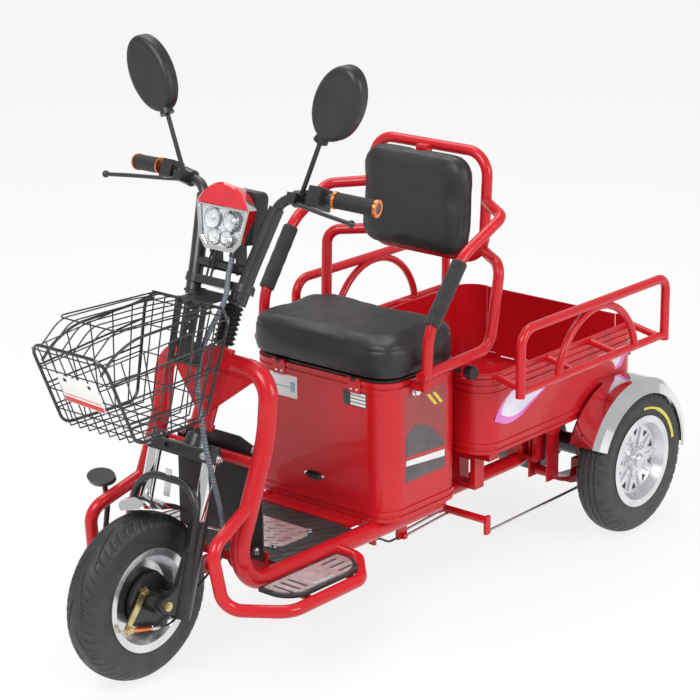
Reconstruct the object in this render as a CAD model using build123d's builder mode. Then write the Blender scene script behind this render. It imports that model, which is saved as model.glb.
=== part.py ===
from build123d import *
import os
from math import cos, radians, sin, tan

# Small three-wheeled electric cargo tricycle.
# +X forward, +Y the rider's left, +Z up, origin on the floor in the middle of the outline, millimetres.

os.makedirs("parts", exist_ok=True)

# Wheels
tyre_radius = 180
tyre_width = 76
bead_radius = 104
flange_radius = 112
front_axle_x = 680
rear_axle_x = -662
rear_half_track = 314
axle_height = tyre_radius

# Steering: the fork legs lie ahead of the steering axis and parallel to it
rake = 24
fork_offset = 57
leg_half_spread = 70
lower_leg_top = 185
crown_bottom = 303
crown_top = 331
crown_cap_top = 356
head_bottom = 368
head_top = 545
bellows_bottom = 551
bellows_top = 636
yoke_bottom = 662
yoke_top = 680
bar_end_y = 340
bar_rise = 889

# Frame
hoop_tube = 42
hoop_half_width = 155
rail_height = 187
rear_rail_tube = 34
rear_rail_half_width = 130
cross_tube = 30
step_tube = 28
step_half_width = 288

# Seat box, cushion and backrest
box_front = 107
box_rear = -159
box_half_width = 200
box_bottom = 208
box_top = 530
box_corner = 55
sheet = 3
cushion_front = 120
cushion_rear = -150
cushion_half_width = 214
cushion_bottom = 536
cushion_top = 628
arm_tube = 25
arm_foot_y = 238

# Cargo bed
bed_front = -166
bed_rear = -768
bed_half_width = 260
bed_bottom = 305
bed_top = 495
bed_corner = 55
gate_half_width = 196
gate_bottom = 322
side_rail_y = 333
side_rail_top = 610
side_rail_low = 468
fender_radius = 200

axis_foot = Vector(
    front_axle_x - fork_offset * cos(radians(rake)), 0, axle_height - fork_offset * sin(radians(rake))
)
# Local x points ahead of the steering axis, local y to the rider's left, local z up along it
steer = Plane(
    origin=axis_foot,
    x_dir=(cos(radians(rake)), 0, sin(radians(rake))),
    z_dir=(-sin(radians(rake)), 0, cos(radians(rake))),
)
front_axle = Axis((front_axle_x, 0, axle_height), (0, 1, 0))
rear_axle_line = Axis((rear_axle_x, 0, axle_height), (0, 1, 0))
sides = (("left", 1), ("right", -1))


def on_fork(ahead, left, up):
    """A point given ahead of, beside and up along the steering axis."""
    return steer.from_local_coords((ahead, left, up))


def add_tube(points, diameter, radii=None, mode=Mode.ADD):
    """A round bar along straight runs joined by arcs."""
    with BuildLine() as route:
        if len(points) > 2:
            FilletPolyline(*points, radius=radii)
        else:
            Line(*points)
    with BuildSketch(Plane(origin=route.line @ 0, z_dir=route.line % 0)) as section:
        Circle(diameter / 2)
    sweep(section.sketch, path=route.line, mode=mode)


def add_loop(points, diameter, radius, flats=0):
    """A closed loop of bar with rounded corners: round, or with that many flats."""
    with BuildLine() as route:
        FilletPolyline(*points, radius=radius, close=True)
    with BuildSketch(Plane(origin=route.line @ 0, z_dir=route.line % 0)) as section:
        if flats:
            RegularPolygon(diameter / 2, flats)
        else:
            Circle(diameter / 2)
    sweep(section.sketch, path=route.line)


def cord_radii(points):
    """Bend radii as large as the runs beside each point allow."""
    runs = [Vector(end) - Vector(start) for start, end in zip(points, points[1:])]
    radii = []
    for before, after in zip(runs, runs[1:]):
        half_turn = radians(before.get_angle(after) / 2)
        radii.append(round(0.45 * min(before.length, after.length) / tan(half_turn), 1))
    return radii


def add_cord(name, points, diameter):
    """A cable held along its whole route; its bend radii are printed."""
    radii = cord_radii(points)
    add_tube(points, diameter, radii)
    print(name, "bend radii", radii)


def mirror_y(points, side):
    return [(x, side * y, z) for x, y, z in points]


# Steering head: tube, front plate with two holes and a gusset to each hoop
with BuildPart() as head_tube:
    with BuildSketch(steer.offset(head_bottom)):
        Circle(25)
    extrude(amount=head_top - head_bottom)
    with BuildSketch(steer.offset(head_bottom)):
        Circle(29)
    extrude(amount=14)
    with BuildSketch(steer.offset(head_top - 14)):
        Circle(29)
    extrude(amount=14)
    front_plate = Plane(origin=on_fork(24, 0, head_top - 26), x_dir=(0, 1, 0), z_dir=steer.x_dir)
    with BuildSketch(front_plate):
        RectangleRounded(104, 40, 6)
        with Locations((28, 0), (42, 0), (-28, 0), (-42, 0)):
            Circle(3, mode=Mode.SUBTRACT)
    extrude(amount=4)
    for side in (1, -1):
        gusset = Plane(origin=on_fork(5, 0, 0), x_dir=(0, side, 0), z_dir=steer.x_dir * side)
        with BuildSketch(gusset):
            with BuildLine():
                Polyline((20, 408), (20, 512), (118, 512), (118, 494), (20, 408))
            make_face()
        extrude(amount=5 * side)
    with BuildSketch(steer.offset(head_bottom - 1)):
        Circle(13)
    extrude(amount=head_top - head_bottom + 2, mode=Mode.SUBTRACT)
head_tube.part.label = "head_tube"
export_step(head_tube.part, "parts/head_tube.step")

# Front hoops: from the steering head out, down and back as the floor's side rails, with the step loops
hoop_route = [
    (424, 18, 631),
    (424, 150, 629),
    (440, 152, 490),
    (570, hoop_half_width, rail_height),
    (-125, hoop_half_width, rail_height),
]
step_route = [
    (500, 155, 362),
    (638, 178, 312),
    (618, 190, 178),
    (520, step_half_width, 168),
    (300, step_half_width, 170),
    (236, 225, 182),
    (236, 155, rail_height),
]
hoops = {}
for name, side in sides:
    with BuildPart() as hoop:
        add_tube(mirror_y(hoop_route, side), hoop_tube, (58, 300, 80))
        add_tube(mirror_y(step_route, side), step_tube, (40, 50, 70, 40, 30))
        # Cross bars that carry the step plate
        for x in (310, 450):
            add_tube([(x, side * hoop_half_width, 175), (x, side * step_half_width, 173)], 14)
        add(head_tube.part, mode=Mode.SUBTRACT)
    hoops[name] = hoop
    hoop.part.label = f"hoop_{name}"
    export_step(hoop.part, f"parts/hoop_{name}.step")

# Underframe: crossbar, floor cross tubes, rear rails, bed bearers and spring hangers
spring_y = 190
front_eye_x = -486
rear_eye_x = -800
eye_height = 168
rear_rail_top = 258
cable_tab_x = 72
link_y = 128
with BuildPart() as underframe:
    add_tube([(440, -150, 430), (440, 150, 430)], 25)
    for x in (392, 250, 60):
        with Locations((x, 0, rail_height)):
            Box(cross_tube, 2 * hoop_half_width, cross_tube - 2)
    for side in (1, -1):
        rear_rail = [
            (-90, 130, 190),
            (-486, 130, 190),
            (-566, 130, rear_rail_top),
            (-772, 130, rear_rail_top),
        ]
        add_tube(mirror_y(rear_rail, side), rear_rail_tube, (70, 70))
        for x in (-230, -470):
            with Locations((x, side * (rear_rail_half_width + 20), 252)):
                Box(34, 90, 106)
            with Locations((x, side * (rear_rail_half_width + 36), 240)):
                Box(36, 30, 60, mode=Mode.SUBTRACT)
    with Locations((-110, 0, rail_height)):
        Box(36, 2 * hoop_half_width, cross_tube)
    for x in (-230, -470, -735):
        with Locations((x, 0, 291)):
            Box(34, 2 * 236, 28)
    with Locations((-758, 0, rear_rail_top)):
        Box(26, 2 * 226, 26)
    # Hangers for the leaf springs: two cheeks each, front and rear
    for side in (1, -1):
        for x, top in ((front_eye_x, 280), (-788, rear_rail_top + 13)):
            for inside in (-26, 26):
                with Locations((x, side * (spring_y + inside), (top + eye_height - 16) / 2)):
                    Box(44, 5, top - eye_height + 16)
        with Locations((-775, side * spring_y, rear_rail_top)):
            Box(20, 57, 26)
    # Lugs that hold the brake pedal's cross tube
    for y in (-100, -34):
        with Locations((422, y, 165)):
            Box(48, 8, 40)
    # Tab under the floor that holds the rear brake cable's end
    with Locations((cable_tab_x, link_y, 157)):
        Box(6, 18, 40)
    add_tube([(434, -204, 158), (434, -20, 158)], 14, mode=Mode.SUBTRACT)
    for name, side in sides:
        add(hoops[name].part, mode=Mode.SUBTRACT)
underframe.part.label = "underframe"
export_step(underframe.part, "parts/underframe.step")

# Floor pan between the rails, with a raised rear strip against the seat box
with BuildPart() as floor_pan:
    with Locations((265, 0, 202.5)):
        Box(310, 262, 3)
    with Locations((136, 0, 207)):
        Box(48, 262, 6)
    with Locations((418.5, 0, 214)):
        Box(3, 262, 26)
    for name, side in sides:
        add(hoops[name].part, mode=Mode.SUBTRACT)
    add(underframe.part, mode=Mode.SUBTRACT)
floor_pan.part.label = "floor_pan"
export_step(floor_pan.part, "parts/floor_pan.step")

# Black splash panel in front of the rider's feet
with BuildPart() as splash_panel:
    with BuildSketch(Plane(origin=(421, 0, 0), x_dir=(0, 1, 0), z_dir=(1, 0, 0))):
        with BuildLine():
            Polyline((-122, 206), (-122, 452), (-60, 474), (60, 474), (122, 452), (122, 206), (-122, 206))
        make_face()
    extrude(amount=4)
    for name, side in sides:
        add(hoops[name].part, mode=Mode.SUBTRACT)
    add(floor_pan.part, mode=Mode.SUBTRACT)
splash_panel.part.label = "splash_panel"
export_step(splash_panel.part, "parts/splash_panel.step")


# Rubber mats: floor mat and a rim under each step plate
floor_top = 204
mat_top = 209
step_top = 190
step_rear = 256
step_front = 508
step_inner = 181
step_outer = 277
step_rounds = (6, 62, 54, 6)


def step_corners(side, border):
    """Corners of a step: straight beside the rail, rounded towards the loop."""
    return [
        (step_rear + border, side * (step_inner + border)),
        (step_rear + border, side * (step_outer - border)),
        (step_front - border, side * (step_outer - border)),
        (step_front - border, side * (step_inner + border)),
    ]


with BuildPart() as floor_mats:
    with BuildSketch(Plane.XY.offset(floor_top)):
        with Locations((289, 0)):
            RectangleRounded(252, 254, 12)
    extrude(amount=mat_top - floor_top)
    for side in (1, -1):
        with BuildSketch(Plane.XY.offset(step_top - 8)):
            with BuildLine():
                FilletPolyline(*step_corners(side, 0), radius=step_rounds, close=True)
            make_face()
        extrude(amount=7)
    for name, side in sides:
        add(hoops[name].part, mode=Mode.SUBTRACT)
    add(underframe.part, mode=Mode.SUBTRACT)
floor_mats.part.label = "floor_mats"
export_step(floor_mats.part, "parts/floor_mats.step")

# Pressed tread plates: one on the floor, one on each step, pierced with rows of slots
slot_slant = -49
step_middle = (step_inner + step_outer) / 2
with BuildPart() as tread_plates:
    with BuildSketch(Plane.XY.offset(mat_top)) as floor_plate:
        with Locations((300, 0)):
            Rectangle(134, 204)
        chamfer(floor_plate.vertices(), 26)
        with Locations((300, 0)):
            with GridLocations(22, 32, 5, 6):
                SlotOverall(20, 5, rotation=slot_slant, mode=Mode.SUBTRACT)
    extrude(amount=2)
    for side in (1, -1):
        with BuildSketch(Plane.XY.offset(step_top - 1)):
            with BuildLine():
                FilletPolyline(*step_corners(side, 9), radius=step_rounds, close=True)
            make_face()
            with Locations(*[(x, side * step_middle) for x in (436, 458, 480)]):
                SlotOverall(58, 8, rotation=90, mode=Mode.SUBTRACT)
            with Locations(*[(308, side * (step_middle + y)) for y in (-24, 0, 24)]):
                SlotOverall(50, 8, mode=Mode.SUBTRACT)
        extrude(amount=2)
        # Plain raised panel in the middle of the plate
        with BuildSketch(Plane.XY.offset(step_top)):
            with Locations((382, side * step_middle)):
                RectangleRounded(66, 62, 8)
        extrude(amount=2.5)
tread_plates.part.label = "tread_plates"
export_step(tread_plates.part, "parts/tread_plates.step")

# Disc horn under the front of the floor
with BuildPart() as horn:
    with BuildSketch(Plane(origin=(444, 78, 214), z_dir=(1, 0, 0))):
        Circle(27)
    extrude(amount=22)
    chamfer(horn.edges().filter_by(GeomType.CIRCLE), 5)
    with BuildSketch(Plane(origin=(466, 78, 214), z_dir=(1, 0, 0))):
        Circle(9)
    extrude(amount=4)
    with Locations((434.5, 78, 222)):
        Box(19, 16, 4)
horn.part.label = "horn"
export_step(horn.part, "parts/horn.step")

# Foot brake pedal on the right: pad, lever and pivot tube under the floor
with BuildPart() as brake_pedal:
    with BuildSketch(Plane(origin=(574, -204, 360), x_dir=(0, 1, 0), z_dir=(0.42, 0, 0.91))):
        Ellipse(38, 24)
    extrude(amount=9)
    lever = [(571, -204, 362), (561, -204, 300), (574, -203, 226), (556, -202, 163), (434, -200, 158)]
    add_tube(lever, 12, (60, 50, 24))
    add_tube([(434, -204, 158), (434, -20, 158)], 14)
    add(hoops["right"].part, mode=Mode.SUBTRACT)
brake_pedal.part.label = "brake_pedal"
export_step(brake_pedal.part, "parts/brake_pedal.step")


def box_profile(grow=0.0):
    with Locations(((box_front + box_rear) / 2, 0)):
        RectangleRounded(
            box_front - box_rear + 2 * grow, 2 * (box_half_width + grow), box_corner + grow
        )


# Seat box: open sheet-metal box with rolled beads at its foot and mouth
bead = 3
hinge_x = box_front + 5
hinge_z = box_top + 2
hinge_y = 110
hinge_width = 36
knuckle_width = 11
knuckle_radius = 3.5
with BuildPart() as seat_box:
    with BuildSketch(Plane.XY.offset(box_bottom)):
        box_profile()
    extrude(amount=box_top - box_bottom)
    for z in (box_bottom, box_bottom + 16, box_top - 24, box_top - 9):
        with BuildSketch(Plane.XY.offset(z)):
            box_profile(bead)
        extrude(amount=9)
    with BuildSketch(Plane.XY.offset(box_bottom + sheet)):
        box_profile(-sheet)
    extrude(amount=box_top, mode=Mode.SUBTRACT)
    # Notches in the upper bead for the lid's two hinges
    for side in (1, -1):
        with Locations((box_front + 3.5, side * hinge_y, box_top + 0.5)):
            Box(6, hinge_width + 4, 6, mode=Mode.SUBTRACT)
    add(floor_pan.part, mode=Mode.SUBTRACT)
    for name, side in sides:
        add(hoops[name].part, mode=Mode.SUBTRACT)
seat_box.part.label = "seat_box"
export_step(seat_box.part, "parts/seat_box.step")

# Traction battery: the heavy mass inside the seat box
with BuildPart() as battery:
    with Locations(((box_front + box_rear) / 2, 0, box_bottom + sheet + 85)):
        Box(200, 330, 170)
battery.part.label = "battery"
export_step(battery.part, "parts/battery.step")

# Hinges of the seat lid: two leaves on the box's front, each with two knuckles
with BuildPart() as seat_hinges:
    for side in (1, -1):
        with Locations((box_front + bead + 0.6, side * hinge_y, box_top - 17)):
            Box(1.2, hinge_width, 26)
        for place in (-1, 1):
            knuckle_y = side * hinge_y + place * (hinge_width - knuckle_width) / 2
            with Locations((hinge_x - 0.5, knuckle_y, hinge_z - 4)):
                Box(3, knuckle_width, 8)
            with BuildSketch(Plane(origin=(hinge_x, knuckle_y, hinge_z), z_dir=(0, 1, 0))):
                Circle(knuckle_radius)
            extrude(amount=knuckle_width / 2, both=True)
seat_hinges.part.label = "seat_hinges"
export_step(seat_hinges.part, "parts/seat_hinges.step")

# Seat lid: pan with the hinges' middle knuckles, cushion on it
with BuildPart() as seat_pan:
    with BuildSketch(Plane.XY.offset(box_top + 1)):
        with Locations(((box_front + box_rear) / 2, 0)):
            RectangleRounded(box_front - box_rear - 4, 2 * box_half_width - 4, box_corner)
    extrude(amount=4.5)
    for side in (1, -1):
        with Locations((box_front + 1, side * hinge_y, box_top + 3.5)):
            Box(10, knuckle_width, 4)
        with BuildSketch(Plane(origin=(hinge_x, side * hinge_y, hinge_z), z_dir=(0, 1, 0))):
            Circle(knuckle_radius)
        extrude(amount=knuckle_width / 2, both=True)
seat_pan.part.label = "seat_pan"
export_step(seat_pan.part, "parts/seat_pan.step")

with BuildPart() as seat_cushion:
    with BuildSketch(Plane.XY.offset(cushion_bottom)):
        with Locations(((cushion_front + cushion_rear) / 2, 0)):
            RectangleRounded(cushion_front - cushion_rear, 2 * cushion_half_width, 66)
    extrude(amount=cushion_top - cushion_bottom)
    fillet(seat_cushion.faces().sort_by(Axis.Z)[-1].edges(), 22)
    fillet(seat_cushion.faces().sort_by(Axis.Z)[0].edges(), 8)
seat_cushion.part.label = "seat_cushion"
export_step(seat_cushion.part, "parts/seat_cushion.step")

# Backrest and arms: one welded frame standing on the seat box's sides
back_low_x = -277
back_high_x = -292
back_half = 165
arm_route = [
    (-285, back_half, 862),
    (-226, 256, 852),
    (-96, 247, 788),
    (14, 241, 640),
    (20, arm_foot_y, 514),
]
support_route = [
    (-279, back_half, 748),
    (-222, 254, 742),
    (-202, 242, 553),
    (38, arm_foot_y, 543),
]
with BuildPart() as arm_frame:
    add_loop(
        [
            (back_low_x, back_half, 727),
            (back_high_x, back_half, 970),
            (back_high_x, -back_half, 970),
            (back_low_x, -back_half, 727),
        ],
        arm_tube,
        55,
    )
    for side in (1, -1):
        add_tube(mirror_y(arm_route, side), arm_tube, (34, 120, 120))
        add_tube(mirror_y(support_route, side), arm_tube, (34, 40))
        add_tube([(20, side * (arm_foot_y + 4), 514), (20, side * (box_half_width - 1), 514)], 20)
        # Lug under the lower rail, clamped by the hand knob
        with Locations((-130, side * 230, 523)):
            Box(26, 6, 50)
    # Tabs that carry the pad
    for y, z in ((80, 742), (-80, 742), (0, 956)):
        with Locations((-268, y, z)):
            Box(22, 30, 34)
    add(seat_box.part, mode=Mode.SUBTRACT)
arm_frame.part.label = "arm_frame"
export_step(arm_frame.part, "parts/arm_frame.step")

# Padded backrest, a plain solid
with BuildPart() as backrest_pad:
    pad_plane = Plane(origin=(-264, 0, 848), x_dir=(0, 1, 0), z_dir=(1, 0, 0.062))
    with BuildSketch(pad_plane):
        RectangleRounded(302, 236, 52)
    extrude(amount=52)
    fillet(backrest_pad.faces().sort_by(Axis.X)[-1].edges(), 20)
    add(arm_frame.part, mode=Mode.SUBTRACT)
backrest_pad.part.label = "backrest_pad"
export_step(backrest_pad.part, "parts/backrest_pad.step")

# Foam sleeves on the sloping arms
with BuildPart() as arm_sleeves:
    for side in (1, -1):
        top, low = mirror_y([(-88, 246.4, 777), (6, 241.3, 651)], side)
        with BuildLine() as sleeve_line:
            Line(top, low)
        with BuildSketch(Plane(origin=top, z_dir=sleeve_line.line % 0)):
            Circle(18)
            Circle(13, mode=Mode.SUBTRACT)
        sweep()
    add(arm_frame.part, mode=Mode.SUBTRACT)
arm_sleeves.part.label = "arm_sleeves"
export_step(arm_sleeves.part, "parts/arm_sleeves.step")

# Hand knobs that clamp the arms' rear lugs to the seat box
knob_x = -130
knob_z = 514
with BuildPart() as arm_knobs:
    for side in (1, -1):
        for y, r, length in ((box_half_width + bead, 9, 24), (233, 7, 5), (238, 15, 20)):
            with BuildSketch(Plane(origin=(knob_x, side * y, knob_z), z_dir=(0, side, 0))):
                Circle(r)
            extrude(amount=length)
    chamfer(arm_knobs.edges().filter_by(GeomType.CIRCLE).group_by(Axis.Y)[-1], 3)
    chamfer(arm_knobs.edges().filter_by(GeomType.CIRCLE).group_by(Axis.Y)[0], 3)
arm_knobs.part.label = "arm_knobs"
export_step(arm_knobs.part, "parts/arm_knobs.step")


def bed_profile(grow=0.0):
    with Locations(((bed_front + bed_rear) / 2, 0)):
        RectangleRounded(
            bed_front - bed_rear + 2 * grow, 2 * (bed_half_width + grow), bed_corner + grow
        )


# Cargo bed: open tub with beads, its rear opening closed by the tailgate
floor_hole = 9
floor_hole_pitch_x = 380
floor_hole_pitch_y = 350
gate_hinge_y = 130
gate_knuckle = 40
with BuildPart() as cargo_bed:
    with BuildSketch(Plane.XY.offset(bed_bottom)):
        bed_profile()
    extrude(amount=bed_top - bed_bottom)
    for z in (bed_bottom, bed_bottom + 16, bed_top - 52, bed_top - 36, bed_top - 20, bed_top - 9):
        with BuildSketch(Plane.XY.offset(z)):
            bed_profile(bead)
        extrude(amount=8)
    with BuildSketch(Plane.XY.offset(bed_bottom + sheet)):
        bed_profile(-sheet)
    extrude(amount=bed_top, mode=Mode.SUBTRACT)
    with Locations((bed_rear, 0, gate_bottom + 200)):
        Box(30, 2 * gate_half_width, 400, mode=Mode.SUBTRACT)
    # Four bolt holes through the floor
    with Locations(((bed_front + bed_rear) / 2, 0, bed_bottom + sheet)):
        with GridLocations(floor_hole_pitch_x, floor_hole_pitch_y, 2, 2):
            Hole(floor_hole / 2, depth=10)
    # Knuckles of the tailgate's hinges, with a notch in the sill for the gate's own
    for side in (1, -1):
        with Locations((bed_rear, side * gate_hinge_y, gate_bottom)):
            Box(14, gate_knuckle + 4, 12, mode=Mode.SUBTRACT)
        for place in (-1, 1):
            pin_y = side * gate_hinge_y + place * (gate_knuckle / 2 + 10)
            with BuildSketch(Plane(origin=(bed_rear, pin_y, gate_bottom), z_dir=(0, 1, 0))):
                Circle(2.6)
            extrude(amount=7, both=True)
cargo_bed.part.label = "cargo_bed"
export_step(cargo_bed.part, "parts/cargo_bed.step")

# Tailgate: pressed panel hinged along its foot
gate_gap = 3
with BuildPart() as tailgate:
    with Locations((bed_rear + 2, 0, (gate_bottom + gate_gap + bed_top - 1) / 2)):
        Box(4, 2 * (gate_half_width - gate_gap), bed_top - 1 - gate_bottom - gate_gap)
    for z in (gate_bottom + 30, bed_top - 40, bed_top - 9):
        with Locations((bed_rear - 1.5, 0, z)):
            Box(3, 2 * (gate_half_width - gate_gap) - 10, 9)
    for side in (1, -1):
        with Locations((bed_rear + 2, side * gate_hinge_y, gate_bottom + 2.5)):
            Box(4, gate_knuckle, 5)
        with BuildSketch(Plane(origin=(bed_rear, side * gate_hinge_y, gate_bottom), z_dir=(0, 1, 0))):
            Circle(4)
        extrude(amount=gate_knuckle / 2, both=True)
tailgate.part.label = "tailgate"
export_step(tailgate.part, "parts/tailgate.step")

# Side rails beside the bed: outer rail with arch, joined to the bed's rim by short bars
with BuildPart() as side_rails:
    for side in (1, -1):
        y = side * side_rail_y
        outer = [(-197, y, 455), (-197, y, side_rail_top), (-771, y, side_rail_top), (-771, y, 455)]
        add_tube(outer, 22, (42, 32))
        add_tube([(-197, y, side_rail_low), (-771, y, side_rail_low)], 19)
        for x in (-212, -400, -570, -742):
            add_tube([(x, side * 259, 484), (x, side * (side_rail_y - 3), side_rail_low + 2)], 17)
        with BuildLine(Plane(origin=(0, y, 0), x_dir=(1, 0, 0), z_dir=(0, -1, 0))) as arch:
            ThreePointArc((-338, side_rail_low), (-491, 600), (-645, side_rail_low))
        with BuildSketch(Plane(origin=arch.line @ 0, z_dir=arch.line % 0)):
            Circle(9)
        sweep()
    add(cargo_bed.part, mode=Mode.SUBTRACT)
side_rails.part.label = "side_rails"
export_step(side_rails.part, "parts/side_rails.step")

# Chromed rear fenders: crowned strips with a deep outer lip
fender_start = 22
fender_arc = 160
with BuildPart() as rear_fenders:
    for side in (1, -1):
        start = radians(fender_start)
        wall = Plane(
            origin=(rear_axle_x, 0, axle_height),
            x_dir=(cos(start), 0, sin(start)),
            z_dir=(-sin(start), 0, cos(start)),
        )
        with BuildSketch(wall):
            with BuildLine():
                Polyline(
                    (fender_radius - 6, side * 268),
                    (fender_radius, side * 276),
                    (fender_radius, side * 336),
                    (fender_radius - 10, side * 348),
                    (fender_radius - 32, side * 356),
                    (fender_radius - 32, side * 358.5),
                    (fender_radius - 9, side * 350.5),
                    (fender_radius + 2, side * 337.5),
                    (fender_radius + 2, side * 275),
                    (fender_radius - 4.5, side * 266),
                    (fender_radius - 6, side * 268),
                )
            make_face()
        revolve(axis=rear_axle_line, revolution_arc=-fender_arc)
        # Bracket from the bed's bearer to the fender's crown
        with Locations((rear_axle_x + 20, side * 262, 372)):
            Box(60, 30, 3)
    add(cargo_bed.part, mode=Mode.SUBTRACT)
rear_fenders.part.label = "rear_fenders"
export_step(rear_fenders.part, "parts/rear_fenders.step")

# Rear axle: tube with the motor and differential housing, and brake plates at its ends
axle_end = rear_half_track - 40
with BuildPart() as rear_axle:
    for y, r, length in (
        (-axle_end, 25, 2 * axle_end),
        (-45, 74, 120),
        (-30, 88, 70),
        (75, 48, 22),
        (-67, 48, 22),
        (-axle_end, 62, 16),
        (axle_end - 16, 62, 16),
        (-axle_end - 48, 10, 2 * axle_end + 96),
    ):
        with BuildSketch(Plane(origin=(rear_axle_x, y, axle_height), z_dir=(0, 1, 0))):
            Circle(r)
        extrude(amount=length)
rear_axle.part.label = "rear_axle"
export_step(rear_axle.part, "parts/rear_axle.step")

# Leaf springs: three leaves a side under the axle, with eyes held between the hangers' cheeks
spring_sag = 34
with BuildPart() as leaf_springs:
    for side in (1, -1):
        middle = Plane(origin=(0, side * spring_y - 20, 0), x_dir=(1, 0, 0), z_dir=(0, -1, 0))
        for reach, drop in ((1.0, 0), (0.72, 6), (0.45, 12)):
            mid_x = (front_eye_x + rear_eye_x) / 2
            half = reach * (front_eye_x - rear_eye_x) / 2
            sag = spring_sag * (1 - reach**2)
            with BuildSketch(middle):
                with BuildLine():
                    upper = ThreePointArc(
                        (mid_x - half, eye_height - 6 - sag - drop),
                        (mid_x, eye_height - 6 - spring_sag - drop),
                        (mid_x + half, eye_height - 6 - sag - drop),
                    )
                    lower = ThreePointArc(
                        (mid_x - half, eye_height - 12 - sag - drop),
                        (mid_x, eye_height - 12 - spring_sag - drop),
                        (mid_x + half, eye_height - 12 - sag - drop),
                    )
                    Line(upper @ 0, lower @ 0)
                    Line(upper @ 1, lower @ 1)
                make_face()
            extrude(amount=-40)
        for x in (front_eye_x, rear_eye_x):
            with BuildSketch(Plane(origin=(x, side * spring_y - 22, eye_height), z_dir=(0, 1, 0))):
                Circle(12)
            extrude(amount=44)
        with Locations((rear_axle_x, side * spring_y, 138)):
            Box(60, 46, 34)
        for x in (-27, 27):
            with Locations((rear_axle_x + x, side * spring_y, 170)):
                Cylinder(5, 78)
        with Locations((rear_axle_x, side * spring_y, 209)):
            Box(64, 20, 6)
    add(rear_axle.part, mode=Mode.SUBTRACT)
    add(underframe.part, mode=Mode.SUBTRACT)
leaf_springs.part.label = "leaf_springs"
export_step(leaf_springs.part, "parts/leaf_springs.step")

# Brake linkage: cross shaft under the seat box with arms, and rods back to the rear brakes
shaft_x = -188
shaft_z = 146
rod_y = 246
with BuildPart() as brake_linkage:
    add_tube([(shaft_x, -rod_y, shaft_z), (shaft_x, rod_y, shaft_z)], 18)
    for side in (1, -1):
        with Locations((shaft_x, side * 118, 160)):
            Box(24, 8, 50)
        with Locations((shaft_x - 6, side * rod_y, 132)):
            Box(16, 8, 44)
        rod_end = (rear_axle_x + 56, side * rod_y, 122)
        add_tube([(shaft_x - 6, side * rod_y, 116), rod_end], 6)
        with Locations((rear_axle_x + 56, side * (rod_y + 6), 150)):
            Box(12, 12, 62)
    with Locations((-30, link_y, 152)):
        Box(30, 8, 62)
    for y in (link_y - 10, link_y + 10):
        add_tube([(-30, y, 128), (shaft_x, y, 138)], 6)
    with Locations((-30, link_y, 128)):
        Box(12, 26, 12)
    for name, side in sides:
        add(hoops[name].part, mode=Mode.SUBTRACT)
    add(underframe.part, mode=Mode.SUBTRACT)
    add(rear_axle.part, mode=Mode.SUBTRACT)
brake_linkage.part.label = "brake_linkage"
export_step(brake_linkage.part, "parts/brake_linkage.step")

# Rear brake cable: from the tab under the floor to the linkage's arm
rear_cable_route = [
    (cable_tab_x - 3, link_y, 146),
    (54, link_y, 146),
    (39, link_y, 139.5),
    (25, link_y, 130.5),
    (12, link_y, 125.2),
    (-2, link_y, 126),
    (-15, link_y, 126),
]
with BuildPart() as rear_brake_cable:
    add_cord("rear_brake_cable", rear_cable_route, 5)
rear_brake_cable.part.label = "rear_brake_cable"
export_step(rear_brake_cable.part, "parts/rear_brake_cable.step")

# Tail lamps on the bed's rear corners
with BuildPart() as tail_lamps:
    for side in (1, -1):
        with Locations((bed_rear - 9, side * 214, 420)):
            Box(18, 30, 60)
    fillet(tail_lamps.edges().filter_by(Axis.X), 6)
    add(cargo_bed.part, mode=Mode.SUBTRACT)
tail_lamps.part.label = "tail_lamps"
export_step(tail_lamps.part, "parts/tail_lamps.step")


shoulder = 15


def tyre_profile(centre_y):
    """Corners of a tyre's half section: radius first, then the place across the machine."""
    half = tyre_width / 2
    return [
        (bead_radius, centre_y - half),
        (tyre_radius - shoulder, centre_y - half),
        (tyre_radius, centre_y - half + shoulder),
        (tyre_radius, centre_y + half - shoulder),
        (tyre_radius - shoulder, centre_y + half),
        (bead_radius, centre_y + half),
        (bead_radius, centre_y - half),
    ]


def wheel_plane(axle_x):
    return Plane(origin=(axle_x, 0, axle_height), x_dir=(1, 0, 0), z_dir=(0, 0, 1))


# Front wheel: tyre, chromed dished rim and drum hub
with BuildPart() as front_tyre:
    with BuildSketch(wheel_plane(front_axle_x)):
        with BuildLine():
            Polyline(*tyre_profile(0))
        make_face()
    revolve(axis=front_axle)
front_tyre.part.label = "front_tyre"
export_step(front_tyre.part, "parts/front_tyre.step")

rim_edge = 35
drum_radius = 62
with BuildPart() as front_rim:
    with BuildSketch(wheel_plane(front_axle_x)):
        with BuildLine():
            Polyline(
                (bead_radius - 0.3, -rim_edge + 2),
                (flange_radius, -rim_edge - 4),
                (flange_radius, -rim_edge - 7),
                (bead_radius - 8, -rim_edge - 4),
                (86, -14),
                (drum_radius, -10),
                (drum_radius, 4),
                (78, 4),
                (bead_radius - 8, rim_edge + 4),
                (flange_radius, rim_edge + 7),
                (flange_radius, rim_edge + 4),
                (bead_radius - 0.3, rim_edge - 2),
                (bead_radius - 0.3, -rim_edge + 2),
            )
        make_face()
    revolve(axis=front_axle)
    add(front_tyre.part, mode=Mode.SUBTRACT)
front_rim.part.label = "front_rim"
export_step(front_rim.part, "parts/front_rim.step")

with BuildPart() as front_hub:
    with BuildSketch(wheel_plane(front_axle_x)):
        with BuildLine():
            Polyline(
                    (6.6, -42),
                    (24, -42),
                    (24, -12),
                    (drum_radius, -12),
                    (drum_radius, 24),
                    (6.6, 24),
                    (6.6, -42),
                )
        make_face()
    revolve(axis=front_axle)
front_hub.part.label = "front_hub"
export_step(front_hub.part, "parts/front_hub.step")

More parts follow.
